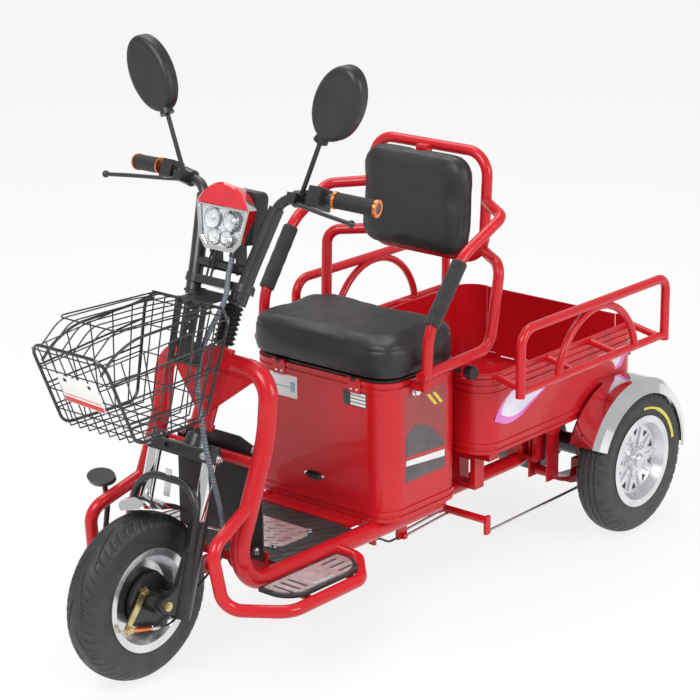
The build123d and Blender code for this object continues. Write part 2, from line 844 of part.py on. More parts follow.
# Rear wheels: tyre and cast rim
disc_radius = 84
window_count = 10
for name, side in sides:
    centre_y = side * rear_half_track
    with BuildPart() as rear_tyre:
        with BuildSketch(wheel_plane(rear_axle_x)):
            with BuildLine():
                Polyline(*tyre_profile(centre_y))
            make_face()
        revolve(axis=rear_axle_line)
    rear_tyre.part.label = f"rear_tyre_{name}"
    export_step(rear_tyre.part, f"parts/rear_tyre_{name}.step")
    with BuildPart() as rear_rim:
        with BuildSketch(wheel_plane(rear_axle_x)):
            with BuildLine():
                Polyline(
                    (bead_radius - 0.3, centre_y - rim_edge),
                    (flange_radius, centre_y - rim_edge - 5),
                    (bead_radius - 9, centre_y - rim_edge - 5),
                    (82, centre_y - 12),
                    (82, centre_y + 12),
                    (bead_radius - 9, centre_y + rim_edge + 5),
                    (flange_radius, centre_y + rim_edge + 5),
                    (bead_radius - 0.3, centre_y + rim_edge),
                    (bead_radius - 0.3, centre_y - rim_edge),
                )
            make_face()
            with BuildLine():
                Polyline(
                    (10.6, centre_y - side * 22),
                    (34, centre_y - side * 22),
                    (34, centre_y + side * 14),
                    (26, centre_y + side * 30),
                    (10.6, centre_y + side * 30),
                    (10.6, centre_y - side * 22),
                )
            make_face()
        revolve(axis=rear_axle_line)
        # Cast disc near the outer face, with windows round its edge and ribs between them
        disc_plane = Plane(
            origin=(rear_axle_x, centre_y + side * 8, axle_height), x_dir=(0, 0, 1), z_dir=(0, side, 0)
        )
        with BuildSketch(disc_plane):
            Circle(disc_radius)
            Circle(12, mode=Mode.SUBTRACT)
            with PolarLocations(disc_radius - 15, window_count):
                RegularPolygon(12, 3, rotation=180, mode=Mode.SUBTRACT)
        extrude(amount=9)
        with BuildSketch(disc_plane.offset(8)):
            with PolarLocations(56, window_count, start_angle=180 / window_count):
                SlotOverall(46, 6)
        extrude(amount=5)
        add(rear_tyre.part, mode=Mode.SUBTRACT)
    rear_rim.part.label = f"rear_rim_{name}"
    export_step(rear_rim.part, f"parts/rear_rim_{name}.step")

# Fork legs: steeper than the steering axis, with lugs that carry the axle ahead of them
leg_y = 79
leg_foot = -1
leg_lean = 0.115


def leg_ahead(up):
    return leg_foot + leg_lean * up


with BuildPart() as fork_legs:
    for side in (1, -1):
        leg_ends = [on_fork(leg_ahead(up), side * leg_y, up) for up in (-22, lower_leg_top)]
        add_tube(leg_ends, 42)
        lug = Plane(origin=on_fork(0, side * leg_y + 6, 0), x_dir=steer.x_dir, z_dir=(0, -1, 0))
        with BuildSketch(lug):
            with BuildLine():
                Polyline(
                    (-12, -20),
                    (fork_offset, -17),
                    (70, -11),
                    (75, 0),
                    (70, 11),
                    (fork_offset, 17),
                    (38, 40),
                    (36, 122),
                    (10, 128),
                    (-12, -20),
                )
            make_face()
            with Locations((fork_offset, 0)):
                Circle(6, mode=Mode.SUBTRACT)
        extrude(amount=12)
    # Arch from leg to leg over the tyre, in front of the chromed tubes
    arch_route = [
        on_fork(32, 90, 118),
        on_fork(44, 91, 186),
        on_fork(56, 86, 252),
        on_fork(56, -86, 252),
        on_fork(44, -91, 186),
        on_fork(32, -90, 118),
    ]
    add_tube(arch_route, 16, (60, 62, 62, 60))
fork_legs.part.label = "fork_legs"
export_step(fork_legs.part, "parts/fork_legs.step")

# Handlebar: two thick risers that splay into the bar, with a cross bar between them
riser_ahead = 60
with BuildPart() as handlebar:
    for side in (1, -1):
        riser = [
            on_fork(riser_ahead, side * 66, 636),
            on_fork(riser_ahead + 2, side * 76, 710),
            on_fork(riser_ahead + 4, side * 103, 848),
        ]
        add_tube(riser, 32, (400,))
        grip_run = [
            on_fork(riser_ahead + 3, side * 98, 820),
            on_fork(riser_ahead + 4, side * 108, 868),
            on_fork(riser_ahead + 4, side * 232, bar_rise - 1),
            on_fork(riser_ahead - 22, side * bar_end_y, bar_rise + 1),
        ]
        add_tube(grip_run, 22, (40, 60))
    add_tube([on_fork(riser_ahead + 2, -74, 708), on_fork(riser_ahead + 2, 74, 708)], 22)
handlebar.part.label = "handlebar"
export_step(handlebar.part, "parts/handlebar.step")

# Grips with a collar at each end
grip_axis = on_fork(riser_ahead - 22, bar_end_y, bar_rise + 1) - on_fork(
    riser_ahead + 4, 232, bar_rise - 1
)


def on_grip(along, side):
    """A point on the bar's end run, a share of the way from its bend to its tip."""
    point = on_fork(riser_ahead + 4, 232, bar_rise - 1) + grip_axis * along
    return (point.X, side * point.Y, point.Z)


def add_sleeve(start, end, outer, inner):
    """A straight sleeve round a bar."""
    way = Vector(*end) - Vector(*start)
    with BuildSketch(Plane(origin=start, z_dir=way)) as section:
        Circle(outer / 2)
        Circle(inner / 2, mode=Mode.SUBTRACT)
    extrude(section.sketch, amount=way.length)


with BuildPart() as grips:
    for side in (1, -1):
        add_sleeve(on_grip(0.16, side), on_grip(0.96, side), 34, 22)
grips.part.label = "grips"
export_step(grips.part, "parts/grips.step")

with BuildPart() as grip_collars:
    for side in (1, -1):
        add_sleeve(on_grip(0.11, side), on_grip(0.16, side), 37, 22)
        add_sleeve(on_grip(0.96, side), on_grip(1.01, side), 37, 22)
grip_collars.part.label = "grip_collars"
export_step(grip_collars.part, "parts/grip_collars.step")

# Brake levers with their perches, the switch box on the left and the throttle body on the right
with BuildPart() as bar_controls:
    for side in (1, -1):
        add_sleeve(
            on_fork(riser_ahead + 4, side * 146, 874.4),
            on_fork(riser_ahead + 4, side * 176, 879.5),
            36,
            22,
        )
        lever = [
            on_fork(riser_ahead + 18, side * 160, 868),
            on_fork(riser_ahead + 42, side * 190, 860),
            on_fork(riser_ahead + 58, side * 270, 850),
            on_fork(riser_ahead + 57, side * 345, 842),
        ]
        add_tube(lever, 9, (18, 80))
        with Locations(Location(on_fork(riser_ahead + 57, side * 348, 842))):
            Sphere(8)
        with Locations(Location(on_fork(riser_ahead + 24, side * 161, 872), (0, -rake, 0))):
            Box(30, 24, 22)
    switch_box = on_fork(riser_ahead + 8, 211, 884)
    with Locations(Location(switch_box, (0, -rake, 0))):
        Box(44, 34, 44)
    throttle_box = on_fork(riser_ahead + 6, -211, 884)
    with Locations(Location(throttle_box, (0, -rake, 0))):
        Box(38, 30, 40)
    add(handlebar.part, mode=Mode.SUBTRACT)
bar_controls.part.label = "bar_controls"
export_step(bar_controls.part, "parts/bar_controls.step")

# Fork crown: stem through the head, lower crown on the legs, upper yoke on the risers
with BuildPart() as fork_crown:
    with BuildSketch(steer.offset(crown_bottom)):
        Circle(29)
        with Locations((33, 0)):
            SlotOverall(2 * (leg_y + 21), 50, rotation=90)
    extrude(amount=crown_top - crown_bottom)
    chamfer(fork_crown.faces().sort_by(Axis(axis_foot, steer.z_dir))[-1].edges(), 3)
    # Long slot across the crown's front
    with BuildSketch(Plane(origin=on_fork(58, 0, crown_top - 13), x_dir=(0, 1, 0), z_dir=steer.x_dir)):
        SlotOverall(70, 11)
    extrude(amount=-6, mode=Mode.SUBTRACT)
    with BuildSketch(steer.offset(crown_top)):
        Circle(29)
    extrude(amount=crown_cap_top - crown_top, taper=14)
    for side in (1, -1):
        with BuildSketch(steer.offset(crown_top)):
            with Locations((33, side * (leg_y - 4))):
                Circle(19)
        extrude(amount=10)
    with BuildSketch(steer.offset(crown_cap_top)):
        Circle(12.5)
    extrude(amount=yoke_top - crown_cap_top)
    with BuildSketch(steer.offset(yoke_bottom)):
        Circle(24)
        with Locations((30, 0)):
            Rectangle(60, 96)
        with Locations((riser_ahead, 68), (riser_ahead, -68)):
            Circle(22)
        with Locations((riser_ahead, 0)):
            Rectangle(36, 136)
    extrude(amount=yoke_top - yoke_bottom)
    add(handlebar.part, mode=Mode.SUBTRACT)
fork_crown.part.label = "fork_crown"
export_step(fork_crown.part, "parts/fork_crown.step")

# Chromed tubes between the lower legs and the crown
with BuildPart() as fork_stanchions:
    for side in (1, -1):
        ends = [on_fork(leg_ahead(up), side * leg_y, up) for up in (lower_leg_top, crown_bottom + 8)]
        add_tube(ends, 30)
    add(fork_crown.part, mode=Mode.SUBTRACT)
fork_stanchions.part.label = "fork_stanchions"
export_step(fork_stanchions.part, "parts/fork_stanchions.step")

# Rubber bellows round the stem
bellows_ribs = 8
with BuildPart() as stem_bellows:
    with BuildSketch(Plane(origin=axis_foot, x_dir=steer.x_dir, z_dir=(0, -1, 0))):
        with BuildLine():
            pitch = (bellows_top - bellows_bottom) / bellows_ribs
            zigzag = [(12.8, bellows_bottom)]
            for rib in range(bellows_ribs):
                zigzag.append((18, bellows_bottom + rib * pitch))
                zigzag.append((24.5, bellows_bottom + (rib + 0.5) * pitch))
            zigzag.append((18, bellows_top))
            zigzag.append((12.8, bellows_top))
            zigzag.append((12.8, bellows_bottom))
            Polyline(*zigzag)
        make_face()
    revolve(axis=Axis(axis_foot, steer.z_dir))
stem_bellows.part.label = "stem_bellows"
export_step(stem_bellows.part, "parts/stem_bellows.step")

# Front brake: fixed backing plate beside the drum, keyed to the left leg
with BuildPart() as front_brake:
    with BuildSketch(Plane(origin=(front_axle_x, 30, axle_height), z_dir=(0, 1, 0))):
        Circle(58)
        Circle(6, mode=Mode.SUBTRACT)
    extrude(amount=8)
    with BuildSketch(Plane(origin=(front_axle_x, 38, axle_height), z_dir=(0, 1, 0))):
        Circle(22)
        Circle(6, mode=Mode.SUBTRACT)
    extrude(amount=leg_y - 6 - 38)
    with Locations(on_fork(16, 48, 34)):
        Box(14, 40, 14)
    add(fork_legs.part, mode=Mode.SUBTRACT)
front_brake.part.label = "front_brake"
export_step(front_brake.part, "parts/front_brake.step")

# Zinc-plated fittings of the fork: axle bolt and nuts, brake arm with its clevis, fender strap
arm_plane = Plane(origin=(0, 46, 0), x_dir=(1, 0, 0), z_dir=(0, -1, 0))
barrel_y = 50
with BuildPart() as fork_fittings:
    with BuildSketch(Plane(origin=(front_axle_x, -97, axle_height), z_dir=(0, 1, 0))):
        Circle(6)
    extrude(amount=194)
    for side in (1, -1):
        with BuildSketch(Plane(origin=(front_axle_x, side * 85, axle_height), z_dir=(0, side, 0))):
            RegularPolygon(11, 6)
        extrude(amount=9)
    with BuildSketch(Plane(origin=(front_axle_x, -73, axle_height), z_dir=(0, 1, 0))):
        Circle(11)
    extrude(amount=26)
    with BuildSketch(arm_plane):
        with BuildLine():
            Polyline((697, 218), (711, 208), (762, 141), (750, 134), (690, 206), (697, 218))
        make_face()
    extrude(amount=4)
    with BuildSketch(Plane(origin=(701, 38, 208), z_dir=(0, 1, 0))):
        Circle(7)
    extrude(amount=14)
    with Locations((755, barrel_y + 1, 140)):
        Box(18, 12, 12)
    add_tube([(752, barrel_y, 139), (668, barrel_y, 119)], 9)
    strap = Plane(origin=on_fork(61, 8, 266), x_dir=(0.17, 0, -0.985), z_dir=(0, -1, 0))
    with BuildSketch(strap):
        with Locations((24, 0)):
            Rectangle(58, 3)
    extrude(amount=16)
    add(fork_legs.part, mode=Mode.SUBTRACT)
fork_fittings.part.label = "fork_fittings"
export_step(fork_fittings.part, "parts/fork_fittings.step")

# Small chromed fender over the front tyre, its front edge drawn out to a round nose
nose_angle = radians(104)
with BuildPart() as front_fender:
    with BuildSketch(
        Plane(
            origin=(front_axle_x, 0, axle_height),
            x_dir=(cos(radians(74)), 0, sin(radians(74))),
            z_dir=(-sin(radians(74)), 0, cos(radians(74))),
        )
    ):
        with BuildLine():
            Polyline(
                (198, -52),
                (204, -30),
                (206, 0),
                (204, 30),
                (198, 52),
                (196, 51),
                (202, 29),
                (204, 0),
                (202, -29),
                (196, -51),
                (198, -52),
            )
        make_face()
    revolve(axis=front_axle, revolution_arc=-58)
    nose_plane = Plane(
        origin=(
            front_axle_x + 150 * cos(nose_angle),
            0,
            axle_height + 150 * sin(nose_angle),
        ),
        x_dir=(sin(nose_angle), 0, -cos(nose_angle)),
        z_dir=(cos(nose_angle), 0, sin(nose_angle)),
    )
    with BuildSketch(nose_plane):
        with BuildLine():
            left_edge = ThreePointArc((-84, 30), (4, 55), (86, 0))
            right_edge = ThreePointArc((86, 0), (4, -55), (-84, -30))
            ThreePointArc(right_edge @ 1, (-94, 0), left_edge @ 0)
        make_face()
    extrude(amount=90, mode=Mode.INTERSECT)
    add(fork_fittings.part, mode=Mode.SUBTRACT)
front_fender.part.label = "front_fender"
export_step(front_fender.part, "parts/front_fender.step")

# Headlamp: a red cap over a chromed shield-shaped shell tilted back, with a clear lens
lamp_up = Vector(-23, 0, 136).normalized()
lamp_out = Vector(136, 0, 23).normalized()
lamp_face = Plane(origin=(399, 0, 932), x_dir=(0, 1, 0), z_dir=lamp_out)
lamp_front = Axis(lamp_face.origin, lamp_out)
cap_edge = 22
lamp_depth = 34
with BuildPart() as headlamp_visor:
    with BuildSketch(lamp_face.offset(4)):
        with BuildLine():
            brow = ThreePointArc((-75, cap_edge), (0, 76), (75, cap_edge))
            Line(brow @ 1, brow @ 0)
        make_face()
    extrude(amount=-lamp_depth - 16, taper=14)
    chamfer(headlamp_visor.faces().sort_by(lamp_front)[-1].edges(), 5)
headlamp_visor.part.label = "headlamp_visor"
export_step(headlamp_visor.part, "parts/headlamp_visor.step")

with BuildPart() as headlamp_shell:
    with BuildSketch(lamp_face):
        with BuildLine():
            Polyline((-75, 26), (-60, -46), (-40, -68), (40, -68), (60, -46), (75, 26))
            ThreePointArc((75, 26), (0, 72), (-75, 26))
        make_face()
    extrude(amount=-lamp_depth, taper=16)
    with BuildSketch(lamp_face.offset(-6)):
        with BuildLine():
            Polyline((-68, cap_edge), (-54, -42), (-36, -60), (36, -60), (54, -42), (68, cap_edge))
            Line((68, cap_edge), (-68, cap_edge))
        make_face()
    extrude(amount=10, mode=Mode.SUBTRACT)
    add(headlamp_visor.part, mode=Mode.SUBTRACT)
headlamp_shell.part.label = "headlamp_shell"
export_step(headlamp_shell.part, "parts/headlamp_shell.step")

with BuildPart() as headlamp_lens:
    with BuildSketch(lamp_face.offset(-6)):
        with BuildLine():
            Polyline((-67, cap_edge - 1), (-54, -42), (-36, -60), (36, -60), (54, -42), (67, cap_edge - 1))
            Line((67, cap_edge - 1), (-67, cap_edge - 1))
        make_face()
    extrude(amount=7)
    chamfer(headlamp_lens.faces().sort_by(lamp_front)[-1].edges(), 2)
    add(headlamp_visor.part, mode=Mode.SUBTRACT)
headlamp_lens.part.label = "headlamp_lens"
export_step(headlamp_lens.part, "parts/headlamp_lens.step")

# Instrument housing behind the headlamp, on two tabs from the cross bar, and the cables' glands
lamp_cable_lefts = (-14, -26)
cable_exit = 730
harness_exit = (82, 36, 728)
with BuildPart() as instrument_housing:
    with BuildSketch(lamp_face.offset(-lamp_depth)):
        with Locations((0, 4)):
            RectangleRounded(122, 112, 16)
    extrude(amount=-44)
    chamfer(instrument_housing.faces().sort_by(lamp_front)[0].edges(), 6)
    for y in (-34, 34):
        with Locations((378, y, 850)):
            Box(30, 5, 74)
    with BuildSketch(steer.offset(harness_exit[2])):
        with Locations(harness_exit[:2]):
            Circle(8)
    extrude(amount=22)
    with BuildSketch(steer.offset(cable_exit)):
        with Locations(*[(80, left) for left in lamp_cable_lefts]):
            Circle(5)
    extrude(amount=20)
    add(headlamp_shell.part, mode=Mode.SUBTRACT)
    add(headlamp_lens.part, mode=Mode.SUBTRACT)
    add(headlamp_visor.part, mode=Mode.SUBTRACT)
    add(handlebar.part, mode=Mode.SUBTRACT)
instrument_housing.part.label = "instrument_housing"
export_step(instrument_housing.part, "parts/instrument_housing.step")

# Two thin cables from the lamp's glands down to the yoke
with BuildPart() as lamp_cables:
    for left in lamp_cable_lefts:
        lamp_cable_route = [
            on_fork(80, left, cable_exit),
            on_fork(80, left, 714),
            on_fork(76, left, 698),
            on_fork(76, left, yoke_top),
        ]
        add_cord("lamp_cables", lamp_cable_route, 5)
lamp_cables.part.label = "lamp_cables"
export_step(lamp_cables.part, "parts/lamp_cables.step")

# Harness: from its gland under the lamp, past the yoke and the crown, to behind the left leg
harness_route = [
    on_fork(*harness_exit),
    on_fork(82, 36, 704),
    on_fork(86, 43, 681),
    on_fork(89, 52, 658),
    on_fork(91, 53, 628),
    on_fork(95, 47, 594),
    on_fork(97, 36, 550),
    on_fork(92, 29, 508),
    on_fork(83, 31, 466),
    on_fork(76, 43, 426),
    on_fork(72, 62, 387),
    on_fork(71, 82, 347),
    on_fork(62, 100, 310),
    on_fork(40, 105, 275),
    on_fork(10, 102, 243),
    on_fork(-18, 100, 210),
    on_fork(-38, 100, 178),
    on_fork(-50, 100, 150),
]
with BuildPart() as cable_harness:
    add_cord("cable_harness", harness_route, 12)
cable_harness.part.label = "cable_harness"
export_step(cable_harness.part, "parts/cable_harness.step")

# Front brake cable: out of the harness's foot, round behind the leg and forward to the barrel
front_cable_route = [
    on_fork(-50, 100, 150),
    on_fork(-59, 100, 129),
    (528, 93, 231),
    (543, 81, 212),
    (567, 65, 180),
    (594, 55, 145),
    (620, barrel_y + 1, 121),
    (644.48, barrel_y, 113.4),
    (668, barrel_y, 119),
]
with BuildPart() as front_brake_cable:
    add_cord("front_brake_cable", front_cable_route, 5)
front_brake_cable.part.label = "front_brake_cable"
export_step(front_brake_cable.part, "parts/front_brake_cable.step")

# Wire clip that holds the harness beside the left leg
with BuildPart() as harness_clip:
    add_tube([on_fork(12, 88, 176), on_fork(-37, 100, 176)], 6)
    add(fork_legs.part, mode=Mode.SUBTRACT)
    add(cable_harness.part, mode=Mode.SUBTRACT)
harness_clip.part.label = "harness_clip"
export_step(harness_clip.part, "parts/harness_clip.step")

# Mirrors: threaded stem from the lever perch, boot, and an oval housing facing back
mirror_low = (338, 158, 972)
mirror_joint = (331, 216, 1112)
mirror_edge = (328, 240, 1154)
mirror_centre = (327, 263, 1194)


def mirror_plane(side, ahead=0):
    """The mirror's own plane, its local x along the oval's long axis."""
    origin = (mirror_centre[0] + ahead, side * mirror_centre[1], mirror_centre[2])
    return Plane(origin=origin, x_dir=(0, side * 0.5, 0.866), z_dir=(1, 0, 0))


with BuildPart() as mirrors:
    for side in (1, -1):
        with BuildSketch(mirror_plane(side, -12)):
            Ellipse(86, 57)
        extrude(amount=30)
    fillet(mirrors.faces().filter_by(Axis.X).group_by(Axis.X)[-1].edges(), 14)
    for side in (1, -1):
        foot, joint, edge = mirror_y([mirror_low, mirror_joint, mirror_edge], side)
        add_tube([foot, joint], 10)
        add_tube([joint, edge], 9)
        with BuildSketch(Plane(origin=joint, z_dir=Vector(*edge) - Vector(*joint))):
            Circle(16)
        extrude(amount=34, taper=10)
        # Seat of the glass
        with BuildSketch(mirror_plane(side, -12)):
            Ellipse(80, 51)
        extrude(amount=3, mode=Mode.SUBTRACT)
    add(bar_controls.part, mode=Mode.SUBTRACT)
    add(handlebar.part, mode=Mode.SUBTRACT)
mirrors.part.label = "mirrors"
export_step(mirrors.part, "parts/mirrors.step")

with BuildPart() as mirror_glass:
    for side in (1, -1):
        with BuildSketch(mirror_plane(side, -11)):
            Ellipse(80, 51)
        extrude(amount=2)
mirror_glass.part.label = "mirror_glass"
export_step(mirror_glass.part, "parts/mirror_glass.step")

# Wire basket: one heavy closed wire shapes the front and rear hoops and the bottom's sides
basket_front_top = (848, 105, 750)
basket_front_low = (766, 105, 559)
basket_rear_low = (565, 99, 557)
basket_rear_top = (504, 122, 779)


def between(a, b, share):
    return tuple(p + (q - p) * share for p, q in zip(a, b))


def add_wire(start, end, size=3.2):
    """A thin straight wire, six-sided."""
    way = Vector(*end) - Vector(*start)
    with BuildSketch(Plane(origin=start, z_dir=way)) as section:
        RegularPolygon(size / 2, 6)
    extrude(section.sketch, amount=way.length)


def across(point):
    return (point[0], -point[1], point[2])


with BuildPart() as basket:
    add_loop(
        [
            basket_front_top,
            basket_front_low,
            basket_rear_low,
            basket_rear_top,
            across(basket_rear_top),
            across(basket_rear_low),
            across(basket_front_low),
            across(basket_front_top),
        ],
        7,
        34,
        8,
    )
    for share in (0.2, 0.45, 0.7, 0.93):
        front = between(basket_front_low, basket_front_top, share)
        rear = between(basket_rear_low, basket_rear_top, share)
        add_wire(front, rear)
        add_wire(across(front), across(rear))
        add_wire(front, across(front))
        add_wire(rear, across(rear))
    rear_rim = between(basket_rear_low, basket_rear_top, 0.93)
    front_rim_wire = between(basket_front_low, basket_front_top, 0.93)
    for share in (0.12, 0.3, 0.5, 0.7, 0.88):
        low = between(basket_rear_low, basket_front_low, share)
        top = between(rear_rim, front_rim_wire, share)
        add_wire(low, top)
        add_wire(across(low), across(top))
        add_wire(low, across(low))
    for share in (0.1, 0.23, 0.36, 0.5, 0.64, 0.77, 0.9):
        low_front = between(basket_front_low, across(basket_front_low), share)
        top_front = between(basket_front_top, across(basket_front_top), share)
        low_rear = between(basket_rear_low, across(basket_rear_low), share)
        top_rear = between(basket_rear_top, across(basket_rear_top), share)
        add_wire(low_front, top_front)
        add_wire(low_rear, top_rear)
        add_wire(low_front, low_rear)
basket.part.label = "basket"
export_step(basket.part, "parts/basket.step")

# Bracket plate behind the basket, strapped to the risers' feet
with BuildPart() as basket_bracket:
    with BuildSketch(Plane(origin=(527, 0, 650), x_dir=(0, 1, 0), z_dir=(0.966, 0, 0.259))):
        with Locations((0, 66)):
            Rectangle(84, 136)
            for y in (-24, 24):
                with Locations((y, 18)):
                    SlotOverall(74, 9, rotation=90, mode=Mode.SUBTRACT)
                with Locations((y, -46)):
                    SlotOverall(22, 9, rotation=90, mode=Mode.SUBTRACT)
            for up in (0, 22, 44):
                with Locations((0, up)):
                    Circle(4, mode=Mode.SUBTRACT)
    extrude(amount=-4)
    with Locations((458, 0, 774)):
        Box(84, 84, 5)
    for side in (1, -1):
        with Locations((424, side * 58, 774)):
            Box(26, 40, 5)
    add(handlebar.part, mode=Mode.SUBTRACT)
    add(basket.part, mode=Mode.SUBTRACT)
basket_bracket.part.label = "basket_bracket"
export_step(basket_bracket.part, "parts/basket_bracket.step")
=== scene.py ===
import bmesh
import bpy
from math import cos, exp, pi, radians, sin
from mathutils import Matrix, Vector


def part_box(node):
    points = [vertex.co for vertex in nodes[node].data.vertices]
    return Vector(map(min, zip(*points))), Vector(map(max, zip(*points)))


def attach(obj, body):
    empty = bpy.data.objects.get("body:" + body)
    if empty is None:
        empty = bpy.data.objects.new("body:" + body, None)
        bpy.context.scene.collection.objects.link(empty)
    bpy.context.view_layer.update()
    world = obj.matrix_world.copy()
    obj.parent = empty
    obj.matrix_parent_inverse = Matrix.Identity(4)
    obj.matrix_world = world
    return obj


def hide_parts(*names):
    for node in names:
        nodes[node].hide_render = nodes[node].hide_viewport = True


# Looks of a small three-wheeled electric cargo tricycle.
# +X forward, +Y the rider's left, +Z up, metres, origin on the floor in the middle of the outline.
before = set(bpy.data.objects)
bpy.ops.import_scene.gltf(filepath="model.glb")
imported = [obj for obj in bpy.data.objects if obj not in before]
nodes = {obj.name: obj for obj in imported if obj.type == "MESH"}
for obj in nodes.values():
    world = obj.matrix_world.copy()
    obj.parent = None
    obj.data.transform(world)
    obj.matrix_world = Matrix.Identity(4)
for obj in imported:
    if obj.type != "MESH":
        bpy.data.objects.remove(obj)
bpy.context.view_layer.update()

# ---------------- named places
front_way = Vector((1, 0, 0))
left_way = Vector((0, 1, 0))
up_way = Vector((0, 0, 1))
both_sides = (("left", 1), ("right", -1))
rake = radians(24)
ahead_way = Vector((cos(rake), 0.0, sin(rake)))
steer_way = Vector((-sin(rake), 0.0, cos(rake)))
tyre_radius = 0.180
tyre_half = 0.041
front_axle = Vector((0.680, 0.0, tyre_radius))
rear_axle = Vector((-0.662, 0.0, tyre_radius))
rear_half_track = 0.314
fork_lead = 0.057
axis_foot = front_axle - fork_lead * ahead_way


def on_fork(ahead, left, up):
    """A point ahead of, beside and up along the steering axis, given in millimetres."""
    return axis_foot + ahead_way * (ahead / 1000) + left_way * (left / 1000) + steer_way * (up / 1000)


# ---------------- camera
def place_camera():
    bpy.ops.object.camera_add(location=(3.8869, 3.3480, 2.1517))
    camera = bpy.context.object
    camera.name = "Camera"
    camera.data.sensor_width = 36
    camera.data.lens = 123.58
    camera.data.clip_end = 60
    target = Vector((-0.56181, -0.47878, 0.31868))
    back = (camera.location - target).normalized()
    right = up_way.cross(back).normalized()
    up = back.cross(right)
    roll = radians(-0.4825)
    across = right * cos(roll) + up * sin(roll)
    upward = up * cos(roll) - right * sin(roll)
    camera.rotation_mode = "QUATERNION"
    camera.rotation_quaternion = Matrix((across, upward, back)).transposed().to_quaternion()
    bpy.context.scene.camera = camera


place_camera()


def clear_selection():
    if bpy.context.object and bpy.context.object.mode != "OBJECT":
        bpy.ops.object.mode_set(mode="OBJECT")
    bpy.ops.object.select_all(action="DESELECT")


# ---------------- cables
harness_width = 0.0118
cable_width = 0.005
lamp_cable_lefts = (-14, -26)
lamp_cable_run = ((80, 730), (80, 714), (76, 698), (76, 680))
harness_route = [on_fork(*place) for place in (
    (82, 36, 728), (82, 36, 704), (86, 43, 681), (89, 52, 658), (91, 53, 628), (95, 47, 594),
    (97, 36, 550), (92, 29, 508), (83, 31, 466), (76, 43, 426), (72, 62, 387), (71, 82, 347),
    (62, 100, 310), (40, 105, 275), (10, 102, 243), (-18, 100, 210), (-38, 100, 178), (-50, 100, 150),
)]
front_cable_route = [
    on_fork(-50, 100, 150), on_fork(-59, 100, 129), (0.528, 0.093, 0.231), (0.543, 0.081, 0.212),
    (0.567, 0.065, 0.180), (0.594, 0.055, 0.145), (0.620, 0.051, 0.121), (0.64448, 0.050, 0.1134),
    (0.668, 0.050, 0.119),
]
rear_cable_route = [
    (0.069, 0.128, 0.146), (0.054, 0.128, 0.146), (0.039, 0.128, 0.1395), (0.025, 0.128, 0.1305),
    (0.012, 0.128, 0.1252), (-0.002, 0.128, 0.126), (-0.015, 0.128, 0.126),
]
lamp_cable_routes = [[on_fork(ahead, left, up) for ahead, up in lamp_cable_run] for left in lamp_cable_lefts]


def make_cable(name, routes, width):
    """A cable held along its whole route: a smooth line on the same points as its solid."""
    clear_selection()
    bpy.ops.curve.primitive_nurbs_path_add()
    piece = bpy.context.object
    piece.name = name
    piece.data.splines.clear()
    for route in routes:
        spline = piece.data.splines.new("NURBS")
        spline.points.add(len(route) - 1)
        for point, place in zip(spline.points, route):
            point.co = (*place, 1.0)
        spline.order_u = 3
        spline.use_endpoint_u = True
        spline.resolution_u = 8
    piece.data.bevel_depth = width / 2
    piece.data.bevel_resolution = 4
    piece.data.use_fill_caps = True
    return piece


held_cables = [
    (make_cable("Cable_Harness", [harness_route], harness_width), "steering", "harness_wrap"),
    (make_cable("Front_Brake_Cable", [front_cable_route], cable_width), "steering", "cable_black"),
    (make_cable("Rear_Brake_Cable", [rear_cable_route], cable_width), "chassis", "cable_black"),
    (make_cable("Lamp_Cables", lamp_cable_routes, cable_width), "steering", "cable_black"),
]

# ---------------- modelling helpers
weld_gap = 0.00002


def pick(piece):
    clear_selection()
    piece.select_set(True)
    bpy.context.view_layer.objects.active = piece


def edit(piece):
    pick(piece)
    bpy.ops.object.mode_set(mode="EDIT")


def leave_edit():
    bpy.ops.object.mode_set(mode="OBJECT")


def set_down(piece, place, way):
    """Puts a piece made along +Z at the origin in its place, pointing along way, in its mesh."""
    pick(piece)
    piece.rotation_mode = "QUATERNION"
    piece.rotation_quaternion = Vector(way).to_track_quat("Z", "Y")
    piece.location = place
    bpy.ops.object.transform_apply(location=True, rotation=True, scale=True)
    return piece


def select_faces(piece, wanted):
    """Selects the faces whose normals wanted(normal) accepts."""
    mesh = bmesh.from_edit_mesh(piece.data)
    bpy.ops.mesh.select_mode(type="FACE")
    for face in mesh.faces:
        face.select = bool(wanted(face.normal))
    mesh.select_flush(True)
    bmesh.update_edit_mesh(piece.data)


def select_points(piece, wanted):
    """Selects the points that wanted(vertex) accepts."""
    mesh = bmesh.from_edit_mesh(piece.data)
    bpy.ops.mesh.select_mode(type="VERT")
    for vertex in mesh.verts:
        vertex.select = bool(wanted(vertex))
    mesh.select_flush_mode()
    bmesh.update_edit_mesh(piece.data)


def reshape(piece, push):
    """Moves every point of a piece by push(place, normal)."""
    mesh = bmesh.new()
    mesh.from_mesh(piece.data)
    mesh.normal_update()
    for vertex in mesh.verts:
        vertex.co += push(vertex.co, vertex.normal)
    mesh.to_mesh(piece.data)
    mesh.free()


def apply_modifier(piece, kind, **settings):
    pick(piece)
    modifier = piece.modifiers.new(kind.title(), kind)
    for name, value in settings.items():
        setattr(modifier, name, value)
    bpy.ops.object.modifier_apply(modifier=modifier.name)


def round_edges(piece, width):
    apply_modifier(piece, "BEVEL", width=width, segments=2, limit_method="ANGLE", angle_limit=radians(40))


def smooth(piece, angle=35):
    pick(piece)
    bpy.ops.object.shade_smooth_by_angle(angle=radians(angle))
    return piece


def outward(piece):
    """Merges a piece's doubles and turns its faces outwards."""
    edit(piece)
    bpy.ops.mesh.select_all(action="SELECT")
    bpy.ops.mesh.remove_doubles(threshold=weld_gap)
    bpy.ops.mesh.normals_make_consistent(inside=False)
    leave_edit()
    return piece


